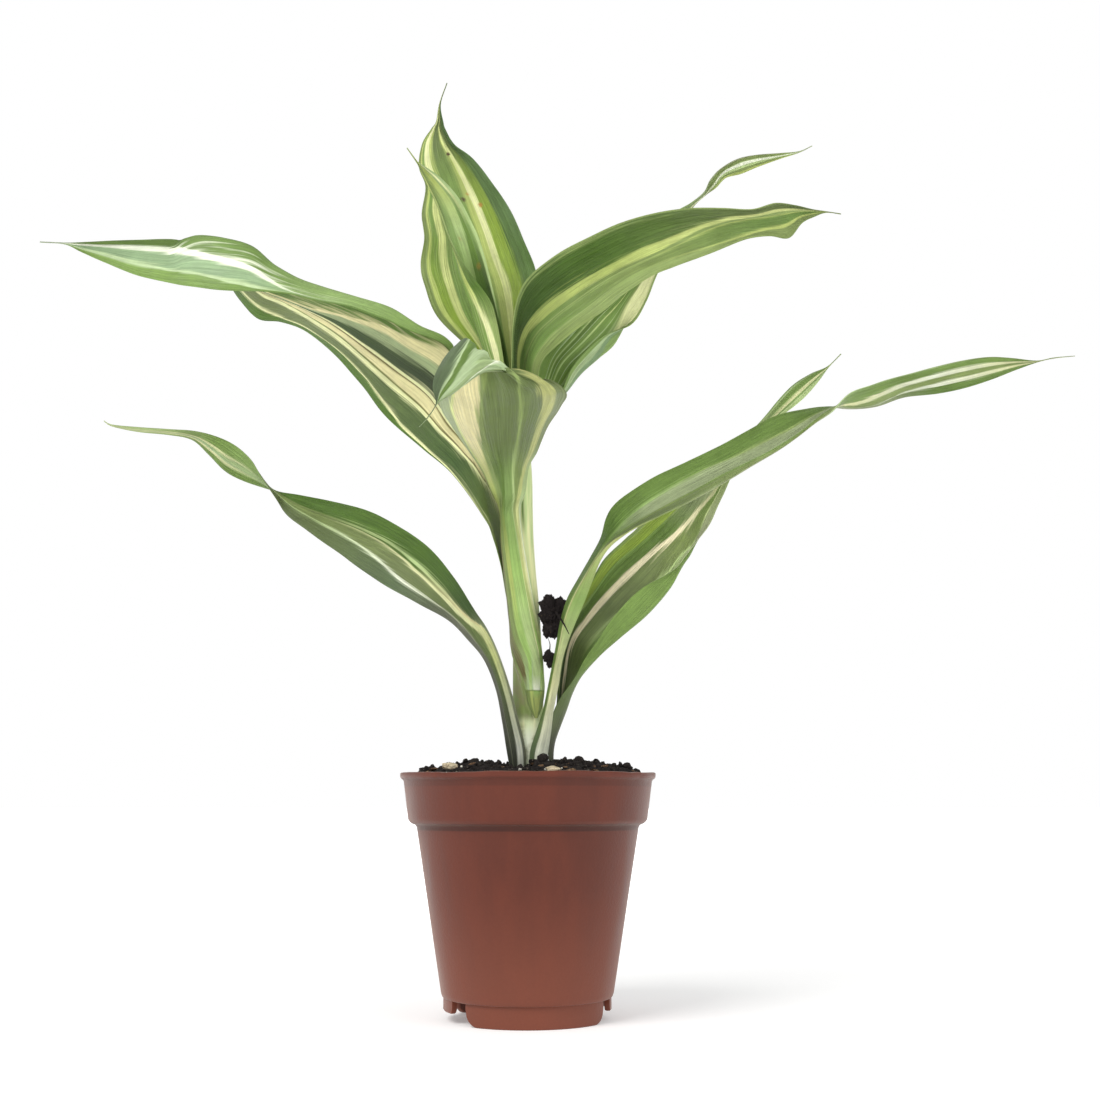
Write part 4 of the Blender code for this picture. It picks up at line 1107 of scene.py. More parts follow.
def rails_of(rows, lean):
    """Rail points in mm. The tip leans back by that much, and the base not at all.

    A row of one point gets its rails side by side, along the last full row.
    """
    count = len(rows[0])
    rails = []
    narrowing = 1.0
    for number, row in enumerate(rows):
        back = lean * (number / (len(rows) - 1)) ** LEAN_POWER
        points = [sight(across, down, depth + back) for across, down, depth in row]
        if len(row) > 1:
            rails.append(points)
            continue
        side = np.array(rails[-1][-1]) - np.array(rails[-1][0])
        side *= narrowing * TIP_HALF_WIDTH / np.linalg.norm(side)
        rails.append([np.array(points[0]) + side * (2 * k / (count - 1) - 1) for k in range(count)])
        narrowing *= TIP_NARROWING
    return np.array(rails)


def stem_at(down):
    """The stem's centre and radius where it shows at that height in the view."""
    rows = np.array(STEM, float)
    order = np.argsort(rows[:, 1])
    across, depth, radius = (np.interp(down, rows[order, 1], rows[order, k]) for k in (0, 2, 3))
    return np.array(sight(across, down, depth)), radius


def clasping(sheath, rails):
    """A leaf's rails: rows that follow the stem's own shape, and then the drawn ones."""
    rows = []
    for down, first, last in sheath:
        centre, radius = stem_at(down)
        outward = facing(np.linspace(first, last, rails.shape[1]))
        rows.append(centre + (radius + SHEATH_CLEAR) * outward)
    return np.array([*rows, *rails])


def edges_at(stations, rows):
    """The bands' edges, from 0 to 1, at each of a leaf's finely spaced rows."""
    table = np.array(stations, float)
    edges = np.stack([np.interp(rows, table[:, 0], column / 100) for column in table[:, 1:].T], axis=1)
    window = np.hanning(2 * EDGE_SMOOTHING + 1)
    padded = np.pad(edges, ((EDGE_SMOOTHING, EDGE_SMOOTHING), (0, 0)), mode="edge")
    edges = np.stack([np.convolve(column, window / window.sum(), "valid") for column in padded.T], axis=1)
    ends = np.ones((len(rows), 1))
    return np.concatenate([0 * ends, edges, ends], axis=1)


def band_columns(edges):
    """For each column of a leaf's mesh, its band and its share of the way across that band."""
    bands = []
    for band, width in enumerate(np.diff(edges, axis=1).mean(axis=0)):
        steps = max(2, round(width * LEAF_COLUMNS))
        bands += [(band, step / steps) for step in range(steps)]
    bands.append((edges.shape[1] - 2, 1.0))
    return np.array(bands)


def leaf_lift(name, params, across, along, broad, seed):
    """How far each point of a leaf stands off its smooth surface, in mm: ribs, waves and ruffles."""
    wave = np.array([noise.noise(Vector((distance / WAVE_LENGTH, seed, 0))) for distance in along])[:, None]
    lift = RIB_HEIGHT * broad * np.sin(2 * np.pi * RIBS * across)
    lift += WAVE_HEIGHTS.get(name, WAVE_HEIGHT) * broad * wave * np.abs(2 * across - 1) ** 4
    for row, reach, begins, waves, height in RUFFLES.get(name, ()):
        near = hump(params, row, reach)[:, None] * smoothstep(begins - 0.1, begins + 0.1, across)
        lift += height * near * np.sin(2 * np.pi * (waves * across + 0.3 * wave))
    return lift


def closed_sheet(middle, half):
    """A thin sheet's points, faces and picks: 0 for its upper side and its rim, 1 for its underside."""
    rows, columns = middle.shape[:2]
    size = rows * columns
    vertices = np.concatenate([(middle + half).reshape(-1, 3), (middle - half).reshape(-1, 3)])
    index = np.arange(size).reshape(rows, columns)
    rim = np.concatenate([index[0], index[1:, -1], index[-1, -2::-1], index[-2:0:-1, 0]])
    after = np.roll(rim, -1)
    sides = (
        grid_faces(rows, columns),
        grid_faces(rows, columns, size, flip=True),
        np.stack([rim, after, size + after, size + rim], axis=1),
    )
    return vertices, np.concatenate(sides).tolist(), np.repeat([0, 1, 0], [len(side) for side in sides])


def blemishes_at(name, grid, params, across):
    """How blemished each point of a leaf's upper side is: rusty above 0, scabbed below it."""
    blemish = np.zeros(across.shape)
    for row, share, radius, strength in BLEMISHES.get(name, ()):
        near = np.argmin(abs(params - row))
        centre = grid[near, np.argmin(abs(across[near] - share))]
        blemish += strength * hump(np.linalg.norm(grid - centre, axis=2), 0, radius)
    return blemish


def leaf_piece(name, rails, seed):
    """A thin leaf whose mesh columns follow its stripes, closed at its margins."""
    params = even_params(rails.mean(axis=1), LEAF_ROWS)
    rows = spline(rails, params)
    edges = edges_at(STRIPES[name]["edges"], params)
    columns = band_columns(edges)
    band = columns[:, 0].astype(int)
    across = edges[:, band] + columns[:, 1] * (edges[:, band + 1] - edges[:, band])
    grid = across_rows(rows, across * (rails.shape[1] - 1))
    normals = np.cross(np.gradient(grid, axis=0), np.gradient(grid, axis=1))
    normals /= np.linalg.norm(normals, axis=2, keepdims=True)
    along = distances_along(rows.mean(axis=1))
    broad = smoothstep(*BROAD_FROM, np.linalg.norm(grid[:, -1] - grid[:, 0], axis=1))[:, None]
    grid = grid + normals * leaf_lift(name, params, across, along, broad, seed)[..., None]
    margin = 1 - MARGIN_THINNING * np.abs(2 * across - 1) ** 8
    half = LEAF_HALF * margin * (1 - TIP_THINNING * (1 - broad))
    vertices, faces, picks = closed_sheet(grid, normals * half[..., None])
    skins = leaf_skins(name, seed)
    piece = new_piece(name + "_fine", vertices, faces, skins, [name], 60, picks)
    stripe = (band + columns[:, 1]) / (edges.shape[1] - 1)
    layers = (("stripe", stripe), ("across", across), ("along", along[:, None]), ("row", params[:, None]))
    for layer, values in layers:
        give(piece, layer, np.tile(np.broadcast_to(values, across.shape).ravel(), 2))
    blemish = blemishes_at(name, grid, params, across)
    give(piece, "blemish", np.concatenate([blemish, 0 * blemish]))


def spelled(words):
    """The colour words of a row, where leaf*3 stands for three of them."""
    for word in words.split():
        name, _, times = word.partition("*")
        yield from [name] * int(times or 1)


def leaf_skins(name, seed):
    """The skins of a leaf's upper side and of its underside."""
    skins = []
    for side, specular in (("upper", 0.35), ("under", 0.25)):
        rows = STRIPES[name][side]
        looks = [(row, [linear(PAINT[word]) for word in spelled(words)]) for row, words in rows]
        skins.append(leaf_skin(name + "_" + side, looks, specular, seed))
    return skins


def make_leaves():
    """Each leaf as a piece of its own."""
    for number, (name, (drawn, sheath, lean)) in enumerate(LEAVES.items()):
        leaf_piece(name, clasping(sheath, rails_of(drawn, lean)), 3.0 * number + 1)


def stem_skin():
    """Pale fibrous green, with a brown old husk, a dark side seam and a bleached foot."""
    material, tree, shader = new_material("stem_skin", 0.45, 0.3)
    fibres = speckle(tree, 1.0, 2.0, 0.6, stretched(tree, own_place(tree), (700, 700, 40)))
    mottle = speckle(tree, 240.0, 4.0)
    colour = mixed(tree, contrast(tree, fibres), linear(PAINT["pale"]), linear(PAINT["cream"]))
    colour = mixed(tree, stored(tree, "seam"), colour, linear(PAINT["deep"]))
    husk = mixed(tree, contrast(tree, mottle, 0.35, 0.65), linear(PAINT["olive"]), linear(PAINT["umber"]))
    colour = mixed(tree, stored(tree, "husk"), colour, husk)
    foot = mixed(tree, contrast(tree, mottle, 0.4, 0.75), linear(PAINT["white"]), linear(PAINT["umber"]))
    colour = mixed(tree, stored(tree, "bleached"), colour, foot)
    colour = shaded(tree, colour, spread(tree, fibres, 0.8, 1.15))
    tree.links.new(colour, shader.inputs["Base Color"])
    tree.links.new(spread(tree, mottle, 0.38, 0.6), shader.inputs["Roughness"])
    bumped(tree, shader, fibres, 0.0002)
    return material


def make_stem():
    """The cane and its shoot, round in every row, with an old sheath's raised margin round its foot."""
    rows = np.array(STEM, float)
    centres = np.array([sight(*row[:3]) for row in rows])
    params = even_params(centres, STEM_ROWS)
    path = spline(centres, params)
    radii = spline(rows[:, 3:], params)
    downs = spline(rows[:, 1:2], params)
    bearings = np.linspace(-180, 180, STEM_SIDES, endpoint=False)[None, :]
    sheath = np.array(CROWN_SHEATH, float)[::-1]
    left, right = (np.interp(downs, sheath[:, 0], sheath[:, side]) for side in (1, 2))
    low = smoothstep(*HUSK_TOP, downs)
    husk_side = 1 - smoothstep(-HUSK_EDGE, HUSK_EDGE, bearings - left)
    husk = low * husk_side * (1 - smoothstep(*HUSK_FOOT, downs))
    margin = low * (1 - smoothstep(*MARGIN_FOOT, downs)) * hump(bearings - left, *MARGIN_LINE)
    seam = hump(bearings - right, *SEAM_LINE) * (1 - smoothstep(*SEAM_END, downs))
    bleached = smoothstep(*BLEACHED_FOOT, downs) * np.ones_like(bearings)
    reach = radii + HUSK_LIFT * margin
    grid = path[:, None, :] + reach[..., None] * facing(bearings)
    faces = tube_faces(STEM_ROWS, STEM_SIDES)
    piece = new_piece("stem_fine", grid.reshape(-1, 3), faces, [stem_skin()], ["stem"])
    for layer, values in (("husk", husk), ("seam", seam), ("bleached", bleached)):
        give(piece, layer, values)


def pot_skin():
    """Dull moulded plastic with faint clouds; painted light at its foot, painted shade under band and lip;
    paler where it turns away.
    """
    material, tree, shader = new_material("pot_skin", 0.5, 0.3)
    place = own_place(tree)
    clouds = contrast(tree, speckle(tree, 1.0, 4.0, 0.6, stretched(tree, place, (90, 90, 25))))
    grain = speckle(tree, 1400.0, 3.0)
    height = add(tree, "ShaderNodeSeparateXYZ", {0: place}).outputs["Z"]
    colour = mixed(tree, clouds, linear(POT_DARK), linear(POT_LIGHT))
    # Painted light: the foot is made paler up to that height, standing in for light thrown up from the
    # floor
    foot_painted_light = spread(tree, contrast(tree, height, 0.0, POT_FOOT_PAINTED_LIGHT_TOP), 0.6, 0.0)
    colour = mixed(tree, foot_painted_light, colour, linear(POT_FOOT_PAINTED_LIGHT))
    # Painted shade: darker lines under the band and under the lip
    for low, high, shade in POT_PAINTED_SHADES:
        above = contrast(tree, height, low - POT_PAINTED_SHADE_EDGE, low)
        below = contrast(tree, height, high, high + POT_PAINTED_SHADE_EDGE)
        inside = worked(tree, "SUBTRACT", above, below)
        colour = shaded(tree, colour, spread(tree, inside, 1.0, shade))
    colour = shaded(tree, colour, spread(tree, grain, 0.93, 1.07))
    tree.links.new(colour, shader.inputs["Base Color"])
    tree.links.new(spread(tree, clouds, 0.42, 0.55), shader.inputs["Roughness"])
    shader.inputs["Sheen Weight"].default_value = 0.25
    shader.inputs["Sheen Tint"].default_value = (1.0, 0.86, 0.76, 1.0)
    shader.inputs["Sheen Roughness"].default_value = 0.4
    bumped(tree, shader, grain, 0.00006)
    return material


def pot_wall_radius(z):
    """The outer radius of the tapering body at a height."""
    share = (z - BODY_FOOT_Z) / (BAND_FOOT_Z - BODY_FOOT_Z)
    return BODY_FOOT_RADIUS + share * (BODY_TOP_RADIUS - BODY_FOOT_RADIUS)


def pot_inside():
    """The pot's inner wall, as (radius, height) points from the brim down to the floor."""
    below, above = INNER_STEP
    return [
        (BAND_TOP_RADIUS - WALL, POT_HEIGHT),
        (BAND_FOOT_RADIUS - WALL, BAND_FOOT_Z + above),
        (pot_wall_radius(BAND_FOOT_Z - below) - WALL, BAND_FOOT_Z - below),
        (BODY_FOOT_RADIUS - WALL, FLOOR_Z + WALL + INNER_BEVEL),
        (BODY_FOOT_RADIUS - WALL - INNER_BEVEL, FLOOR_Z + WALL),
    ]


def pot_outline():
    """The pot's section, as (radius, height) points from its underside's middle to its floor's."""
    step_z = BAND_FOOT_Z - STEP_DROP
    return [
        (0.0, FLOOR_Z),
        (BODY_FOOT_RADIUS - FOOT_BEVEL, FLOOR_Z),
        (BODY_FOOT_RADIUS, BODY_FOOT_Z + FOOT_BEVEL),
        (pot_wall_radius(step_z), step_z),
        (BODY_TOP_RADIUS + STEP_FLARE[0], BAND_FOOT_Z - STEP_FLARE[1]),
        (BAND_FOOT_RADIUS - BAND_BEVEL[0], BAND_FOOT_Z),
        (BAND_FOOT_RADIUS, BAND_FOOT_Z + BAND_BEVEL[1]),
        (BAND_TOP_RADIUS, POT_HEIGHT - LIP_DROP - LIP_SLOPE),
        (LIP_RADIUS, POT_HEIGHT - LIP_DROP),
        (LIP_RADIUS, POT_HEIGHT - LIP_BEVEL[1]),
        (LIP_RADIUS - LIP_BEVEL[0], POT_HEIGHT),
        *pot_inside(),
        (0.0, FLOOR_Z + WALL),
    ]


def softened(outline, corner, steps=5):
    """An outline with its inner corners rounded by short curves, and fine points along its runs."""
    points = [np.array(point, float) for point in outline]
    fine = [points[0]]
    for before, here, after in zip(points, points[1:], points[2:]):
        back, ahead = before - here, after - here
        room = min(corner, 0.45 * np.linalg.norm(back), 0.45 * np.linalg.norm(ahead))
        start = here + back / np.linalg.norm(back) * room
        end = here + ahead / np.linalg.norm(ahead) * room
        fine += run_between(fine[-1], start)
        for t in np.linspace(0, 1, steps):
            fine.append((1 - t) ** 2 * start + 2 * t * (1 - t) * here + t**2 * end)
    fine += run_between(fine[-1], points[-1])
    fine.append(points[-1])
    return np.array(fine)


def run_between(start, end):
    """Points between two others, about POT_STEP apart, with neither end."""
    count = int(np.linalg.norm(end - start) / POT_STEP)
    return [start + (end - start) * k / (count + 1) for k in range(1, count + 1)]


def turned(outline, sides):
    """The points and faces of a solid turned from an outline that starts and ends on the axis."""
    ring = outline[1:-1]
    angles = np.linspace(0, 2 * np.pi, sides, endpoint=False)
    across, deep = ring[:, :1] * np.cos(angles), ring[:, :1] * np.sin(angles)
    grid = np.stack([across, deep, np.repeat(ring[:, 1:], sides, axis=1)], axis=2)
    vertices = np.concatenate([grid.reshape(-1, 3), [(0, 0, outline[0][1]), (0, 0, outline[-1][1])]])
    faces = ring_faces(len(ring), sides)
    last = (len(ring) - 1) * sides
    for k in range(sides):
        after = (k + 1) % sides
        faces.append((len(vertices) - 2, after, k))
        faces.append((len(vertices) - 1, last + k, last + after))
    return vertices, faces


def wave_lip(vertices):
    """Moves the points of the pot's lip a little up, down, in and out on its way round."""
    bearings = np.arctan2(vertices[:, 0], -vertices[:, 1])
    brim = np.stack([np.cos(bearings), np.sin(bearings), 0 * bearings], axis=1)
    start, end = (POT_HEIGHT - drop for drop in LIP_WAVE_FROM)
    wave = LIP_WAVE * smoothstep(start, end, vertices[:, 2])
    coarse, fine, inward = noise_at(brim, 2.6, 4.1), noise_at(brim, 11, 7.7), noise_at(brim, 4.0, 1.3)
    vertices[:, 2] += wave * (coarse + 0.5 * fine)
    vertices[:, :2] *= (1 + 0.6 * wave / LIP_RADIUS * inward)[:, None]


def ring_segment(span, turn, radius, low, corner):
    """A foot: a piece of a ring between two bearings, with its lower corners rounded off."""
    start, end = (math.radians(bearing + turn) for bearing in span)
    steps = max(12, math.ceil((span[1] - span[0]) / FOOT_STEP))
    high = FLOOR_Z + WALL / 2
    inner = radius - FOOT_WALL
    vertices = []
    for k in range(steps + 1):
        angle = start + (end - start) * k / steps
        inward = max(0.0, corner - radius * min(angle - start, end - angle))
        foot = low + corner - math.sqrt(corner**2 - inward**2)
        section = (
            (inner, foot + FOOT_EDGE), (inner + FOOT_EDGE, foot), (radius - FOOT_EDGE, foot),
            (radius, foot + FOOT_EDGE), (radius, high), (inner, high),
        )
        for around, height in section:
            vertices.append((around * math.sin(angle), -around * math.cos(angle), min(height, high)))
    count = len(section)
    faces = [tuple(reversed(range(count))), tuple(count * steps + j for j in range(count))]
    for k in range(steps):
        for j in range(count):
            a, b = count * k + j, count * k + (j + 1) % count
            faces.append((a, b, b + count, a + count))
    return loose_object(vertices, faces)


def loose_object(vertices, faces):
    """An object for a Boolean alone, from points in mm from the pot's axis."""
    mesh = bpy.data.meshes.new("tool")
    mesh.from_pydata(placed(vertices).tolist(), [], faces)
    item = bpy.data.objects.new("tool", mesh)
    bpy.context.collection.objects.link(item)
    return item


def apply_boolean(target, other, operation):
    """Joins another object to the target, or cuts it out, and removes the other."""
    modifier = target.modifiers.new(operation.lower(), "BOOLEAN")
    modifier.operation = operation
    modifier.solver = "MANIFOLD"
    modifier.object = other
    bpy.context.view_layer.update()
    evaluated = target.evaluated_get(bpy.context.evaluated_depsgraph_get())
    mesh = bpy.data.meshes.new_from_object(evaluated)
    target.modifiers.remove(modifier)
    target.data = mesh
    bpy.data.objects.remove(other, do_unlink=True)


def make_pot():
    """The moulded pot: lip, rim band, step, tapering wall, raised floor, feet and drain holes."""
    vertices, faces = turned(softened(pot_outline(), POT_CORNER), POT_SIDES)
    wave_lip(vertices)
    pot = new_piece("pot_fine", vertices, faces, [pot_skin()], ["pot"], POT_SHARP)
    for turn in (0, 180):
        apply_boolean(pot, ring_segment(FOOT_SPAN, turn, FOOT_RADIUS, 0.0, FOOT_CORNER), "UNION")
        for span in TOOTH_SPANS:
            tooth = ring_segment(span, turn, TOOTH_RADIUS, TOOTH_LIFT, TOOTH_CORNER)
            apply_boolean(pot, tooth, "UNION")
    drain = [
        (0, FLOOR_Z - WALL), (DRAIN_RADIUS, FLOOR_Z - WALL),
        (DRAIN_RADIUS, FLOOR_Z + 2 * WALL), (0, FLOOR_Z + 2 * WALL),
    ]
    for number in range(DRAINS):
        angle = 2 * math.pi * (number + DRAIN_TURN) / DRAINS
        centre = (DRAIN_RING * math.cos(angle), DRAIN_RING * math.sin(angle), 0)
        points, sides = turned(np.array(drain, float), DRAIN_SIDES)
        apply_boolean(pot, loose_object(points + centre, sides), "DIFFERENCE")
    pot.data.set_sharp_from_angle(angle=math.radians(POT_SHARP))


def mix_skin(name, dark, light, share):
    """Crumbly mix: mostly the dark colour, with grains of the light one over that share."""
    material, tree, shader = new_material(name, 0.95, 0.15)
    grains = speckle(tree, 1500.0, 5.0, 0.7)
    patches = speckle(tree, 260.0, 4.0)
    grained = contrast(tree, grains, 1 - share - 0.1, 1 - share + 0.1)
    colour = mixed(tree, grained, linear(dark), linear(light))
    colour = shaded(tree, colour, spread(tree, patches, 0.5, 1.5))
    tree.links.new(colour, shader.inputs["Base Color"])
    bumped(tree, shader, grains, 0.0005)
    return material


def soil_height(x, y):
    """The height of the mix's surface: heaped in the middle, low at the wall, with lumps."""
    far = min(1.0, math.hypot(x, y) / (BAND_TOP_RADIUS - WALL))
    coarse = noise.noise(Vector((x * COARSE_LUMPS, y * COARSE_LUMPS, 3.7)))
    fine = noise.noise(Vector((x * FINE_LUMPS, y * FINE_LUMPS, 9.1)))
    lump = coarse + 0.6 * fine
    hollow = math.exp(-((x - HOLLOW_X) / HOLLOW_WIDTH) ** 2 - ((y - HOLLOW_Y) / HOLLOW_LENGTH) ** 2)
    return SOIL_RIM_Z + SOIL_DOME * (1 - far**4) + SOIL_LUMP * lump - HOLLOW_DEPTH * hollow


def crumbled_height(x, y):
    """The mix's height with its crumbs."""
    rough = 0.0
    for size, height, seed in CRUMB_OCTAVES:
        rough += height * (0.5 - abs(noise.noise(Vector((x / size, y / size, seed)))) * 2)
    return soil_height(x, y) + rough


def make_mix_body():
    """The mix fills the pot to its floor, with crumbs on top and a hole that the stem stands in."""
    inside = pot_inside()
    radii, heights = zip(*reversed(inside))
    angles = np.linspace(0, 2 * np.pi, MIX_SIDES, endpoint=False)
    outward = np.stack([np.cos(angles), np.sin(angles)], axis=1)
    hole = np.array((STEM_X, STEM_Y)) + STEM_HOLE * outward
    vertices = []
    for share in np.linspace(0, 1, SOIL_RINGS):
        for out, start in zip(outward, hole):
            brim_z = soil_height(*(BAND_TOP_RADIUS * out))
            end = (np.interp(brim_z, heights, radii) - SOIL_CLEAR) * out
            x, y = start + (end - start) * share
            vertices.append((x, y, crumbled_height(x, y)))
    for radius, height in inside[1:]:
        vertices += [(*((radius - SOIL_CLEAR) * out), height + SOIL_CLEAR) for out in outward]
    foot = len(vertices)
    foot_z = sight(*STEM[0][:3])[2] - SOIL_CLEAR
    vertices += [(x, y, foot_z) for x, y in hole]
    rings = SOIL_RINGS + len(inside) - 1
    faces = [tuple(reversed(face)) for face in ring_faces(rings, MIX_SIDES)]
    faces += [tuple(reversed(range(foot - MIX_SIDES, foot))), tuple(range(foot, foot + MIX_SIDES))]
    for k in range(MIX_SIDES):
        after = (k + 1) % MIX_SIDES
        faces.append((k, after, foot + after, foot + k))
    skin = mix_skin("mix_skin", *MIX_SKIN)
    new_piece("mix_fine", vertices, faces, [skin], ["soil"])


def unit_ball(subdivisions):
    """The points and faces of an icosphere."""
    body = bmesh.new()
    bmesh.ops.create_icosphere(body, subdivisions=subdivisions, radius=1.0)
    points = np.array([vertex.co for vertex in body.verts])
    faces = [tuple(vertex.index for vertex in face.verts) for face in body.faces]
    body.free()
    return points, faces


def chipped(ball, sizes, draw, cuts=9, rough=0.08):
    """A broken chip: a ball pressed flat on some random sides, stretched and roughened."""
    normals = draw.normal(size=(cuts, 3))
    normals /= np.linalg.norm(normals, axis=1, keepdims=True)
    depths = draw.uniform(0.55, 0.9, cuts)
    facings = ball @ normals.T
    reach = np.where(facings > 0.05, depths / np.maximum(facings, 0.05), 9.0).min(axis=1)
    reach = np.minimum(reach, 1.0) * (1 + rough * noise_at(ball, 2.5, draw.uniform(0, 50)))
    return ball * reach[:, None] * sizes


def turned_about(points, draw):
    """Points turned to a random direction."""
    axes, _ = np.linalg.qr(draw.normal(size=(3, 3)))
    return points @ axes.T


def tilted(points, draw):
    """Points tilted a little from level, and spun."""
    tilt = math.radians(draw.uniform(-BITS_TILT, BITS_TILT))
    spin = draw.uniform(0, 2 * math.pi)
    return points @ np.array(Matrix.Rotation(tilt, 3, "X")) @ np.array(Matrix.Rotation(spin, 3, "Z"))


def scatter(name, count, sizes, detail, skin, seed, flatness=1.0, spare=0.0):
    """Bits lying on the mix, all in one piece: sizes is the range of their half lengths in mm."""
    draw = np.random.default_rng(seed)
    ball, ball_faces = unit_ball(detail)
    vertices, faces = [], []
    while len(faces) < count * len(ball_faces):
        far = (BAND_TOP_RADIUS - WALL - BITS_WALL_CLEAR) * math.sqrt(draw.uniform(0, 1))
        turn = draw.uniform(0, 2 * math.pi)
        x, y = far * math.cos(turn), far * math.sin(turn)
        if math.hypot(x - STEM_X, y - STEM_Y) < BITS_STEM_CLEAR + spare:
            continue
        size = sizes[0] + (sizes[1] - sizes[0]) * draw.uniform(0, 1) ** BITS_SIZE_POWER
        bit = chipped(ball, size * draw.uniform(*BITS_SHAPE, 3) * (1, 1, flatness), draw)
        bit = turned_about(bit, draw) if flatness == 1.0 else tilted(bit, draw)
        height = crumbled_height(x, y) + BITS_RISE * (bit[:, 2].max() - bit[:, 2].min())
        join(vertices, faces, (bit + (x, y, height)).tolist(), ball_faces)
    new_piece(name, vertices, faces, [skin], [], 50)


def make_mix():
    """The mix with its crumbs, bark and perlite."""
    make_mix_body()
    crumb = mix_skin("crumb_skin", *CRUMB_SKIN)
    bark = mix_skin("bark_skin", *BARK_SKIN)
    perlite = mix_skin("perlite_skin", *PERLITE_SKIN)
    scatter("mix_crumbs_small", 900, (0.35, 1.2), 1, crumb, 11)
    scatter("mix_crumbs_large", 150, (0.9, 2.2), 2, crumb, 12)
    scatter("mix_bark", 60, (1.0, 3.2), 2, bark, 13, 0.3, spare=1.5)
    scatter("mix_perlite", 45, (0.35, 0.9), 2, perlite, 14)


def lobed(ball, lobes):
    """How far each direction reaches through a cluster of overlapping balls round the middle."""
    reach = np.zeros(len(ball))
    for centre, radius in lobes:
        along = ball @ np.array(centre, float)
        inside = along**2 - np.dot(centre, centre) + radius**2
        reach = np.maximum(reach, np.where(inside > 0, along + np.sqrt(np.maximum(inside, 0)), 0))
    return reach


def fibre(points, radius):
    """The points and faces of a thin tapering root through places in mm."""
    path = spline(points, np.linspace(0, len(points) - 1, 6 * len(points)))
    angles = np.linspace(0, 2 * np.pi, ROOT_SIDES, endpoint=False)
    vertices = []
    for k, place in enumerate(path):
        ahead = path[min(k + 1, len(path) - 1)] - path[max(k - 1, 0)]
        side = np.cross(ahead, (0.3, 1.0, 0.2))
        side /= np.linalg.norm(side)
        up = np.cross(ahead, side)
        up /= np.linalg.norm(up)
        thick = radius * (1 - ROOT_TAPER * k / len(path))
        vertices += [(place + thick * (math.cos(a) * side + math.sin(a) * up)).tolist() for a in angles]
    return vertices, tube_faces(len(path), ROOT_SIDES)


def make_clumps():
    """Two rough lumps of mix lodged between the stem and a leaf, with a root sticking out of each."""
    skin = mix_skin("clump_skin", *CLUMP_SKIN)
    ball, ball_faces = unit_ball(6)
    for name, (place, sizes, seed) in CLUMPS.items():
        small = min(sizes)
        lobes = [(np.array(middle) * sizes, radius * small) for middle, radius in CLUMP_LOBES[name]]
        points = ball * lobed(ball, lobes)[:, None]
        for scale, height in CLODS:
            points += ball * (height * small / 4 * noise_at(points, scale, seed))[:, None]
        vertices, faces = [], []
        join(vertices, faces, (np.array(sight(*place)) + points).tolist(), ball_faces)
        root, radius = CLUMP_ROOTS[name]
        join(vertices, faces, *fibre([sight(*point) for point in root], radius))
        new_piece(name + "_fine", vertices, faces, [skin], [name], 80)


def make_chips():
    """Two bark chips lying on the mix near its front."""
    skin = mix_skin("chip_skin", *CHIP_SKIN)
    ball, ball_faces = unit_ball(5)
    for name, ((across, depth), sizes, seed) in CHIPS.items():
        x, y, _ = sight(across, CHIP_VIEW_DOWN, depth)
        centre = (x, y, soil_height(x, y) + sizes[2] + CHIP_LIFT)
        draw = np.random.default_rng(seed)
        points = chipped(ball, np.array(sizes) * CHIP_SWELL, draw, 14, 0.12)
        new_piece(name + "_fine", points + centre, ball_faces, [skin], [name], 60)


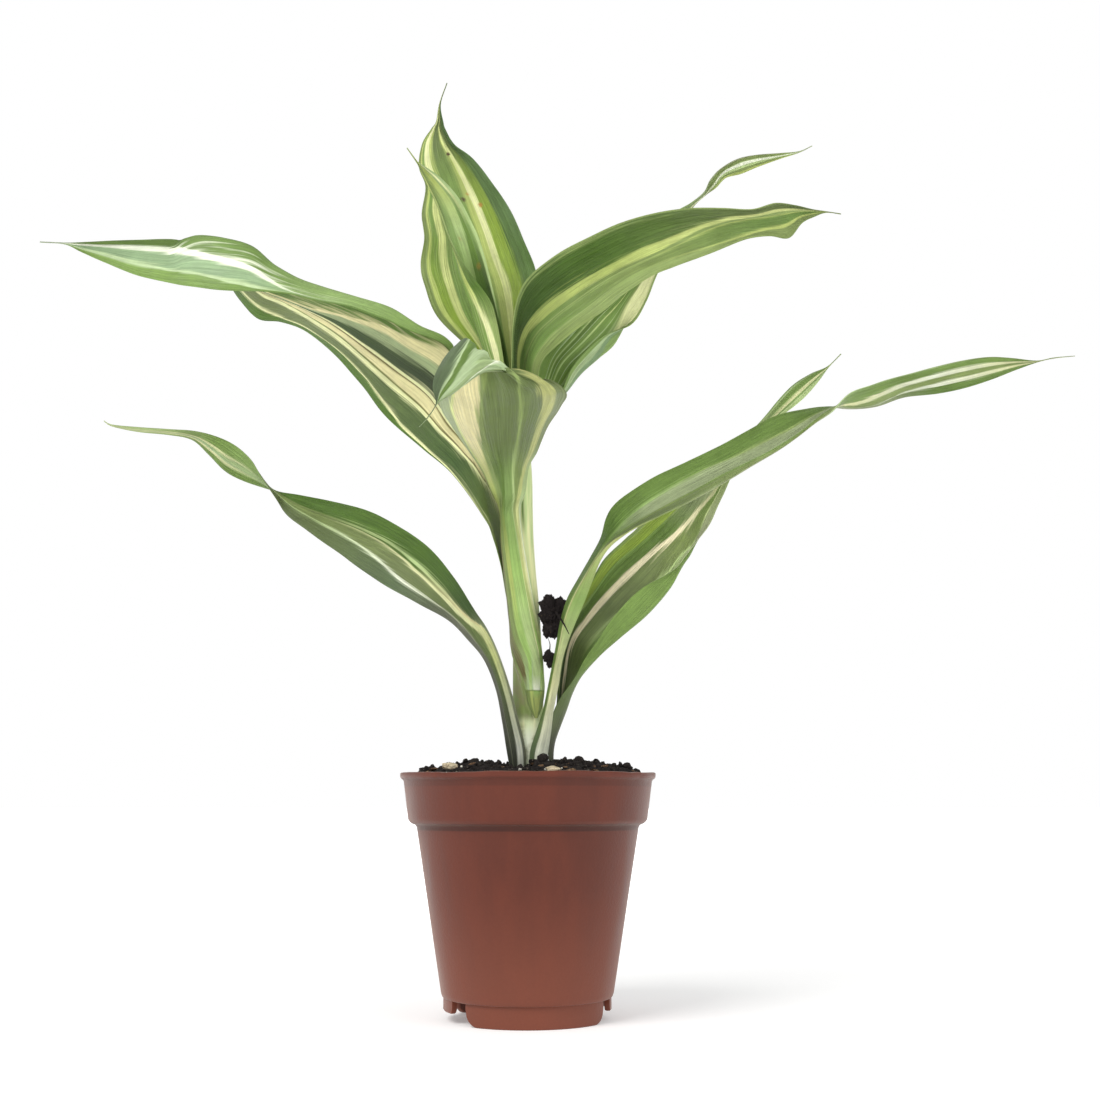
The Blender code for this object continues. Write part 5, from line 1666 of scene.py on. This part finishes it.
def make_floor():
    """A white floor that glows a little more the farther it lies from the pot."""
    material, tree, shader = new_material("floor_skin", 0.9, 0.1)
    tone = spread(tree, speckle(tree, 4.0, 2.0), 0.985, 1.0)
    tree.links.new(shaded(tree, linear(FLOOR_PAINT), tone), shader.inputs["Base Color"])
    far = add(tree, "ShaderNodeVectorMath", {0: own_place(tree)}, operation="LENGTH").outputs["Value"]
    glow = spread(tree, contrast(tree, far, *FLOOR_GLOW_REACH), *FLOOR_GLOW)
    shader.inputs["Emission Color"].default_value = WHITE
    tree.links.new(glow, shader.inputs["Emission Strength"])
    bpy.ops.mesh.primitive_circle_add(vertices=64, radius=FLOOR_RADIUS, fill_type="NGON")
    floor = bpy.context.active_object
    floor.name = "floor"
    floor.data.materials.append(material)


def area_light(name, place, size, power, colour):
    """A round lamp that faces the plant."""
    light = bpy.data.lights.new(name, "AREA")
    light.shape = "DISK"
    light.size = size
    light.energy = power
    light.color = colour
    lamp = bpy.data.objects.new(name, light)
    lamp.location = place
    lamp.rotation_euler = (Vector(LIGHT_TARGET) - Vector(place)).to_track_quat("-Z", "Y").to_euler()
    bpy.context.collection.objects.link(lamp)


def make_world():
    """White behind the plant, and a dimmer even light all round it."""
    world = bpy.data.worlds.new("studio")
    world.use_nodes = True
    tree = world.node_tree
    seen = add(tree, "ShaderNodeLightPath").outputs["Is Camera Ray"]
    strength = spread(tree, seen, WORLD_LIGHT, 1.0)
    tree.links.new(strength, tree.nodes["Background"].inputs["Strength"])
    tree.nodes["Background"].inputs["Color"].default_value = WHITE
    bpy.context.scene.world = world


def make_camera():
    """The eye of the front view that the leaves are drawn over."""
    data = bpy.data.cameras.new("camera")
    data.sensor_width = SENSOR
    data.lens = VIEW_FOCAL / VIEW_SIZE * SENSOR
    data.clip_start = CLIP_START
    camera = bpy.data.objects.new("camera", data)
    camera.location = placed((EYE_RIGHT, -EYE_DISTANCE, EYE_HEIGHT))
    camera.rotation_euler = (math.pi / 2 + EYE_PITCH, 0, 0)
    bpy.context.collection.objects.link(camera)
    bpy.context.scene.camera = camera


def make_studio():
    """Camera, floor, even light and lamps."""
    make_camera()
    make_floor()
    make_world()
    for name, place, size, power, colour in LIGHTS:
        area_light(name, place, size, power, colour)
    bpy.context.scene.view_settings.view_transform = "Standard"


make_studio()
make_pot()
make_mix()
make_stem()
make_leaves()
make_clumps()
make_chips()
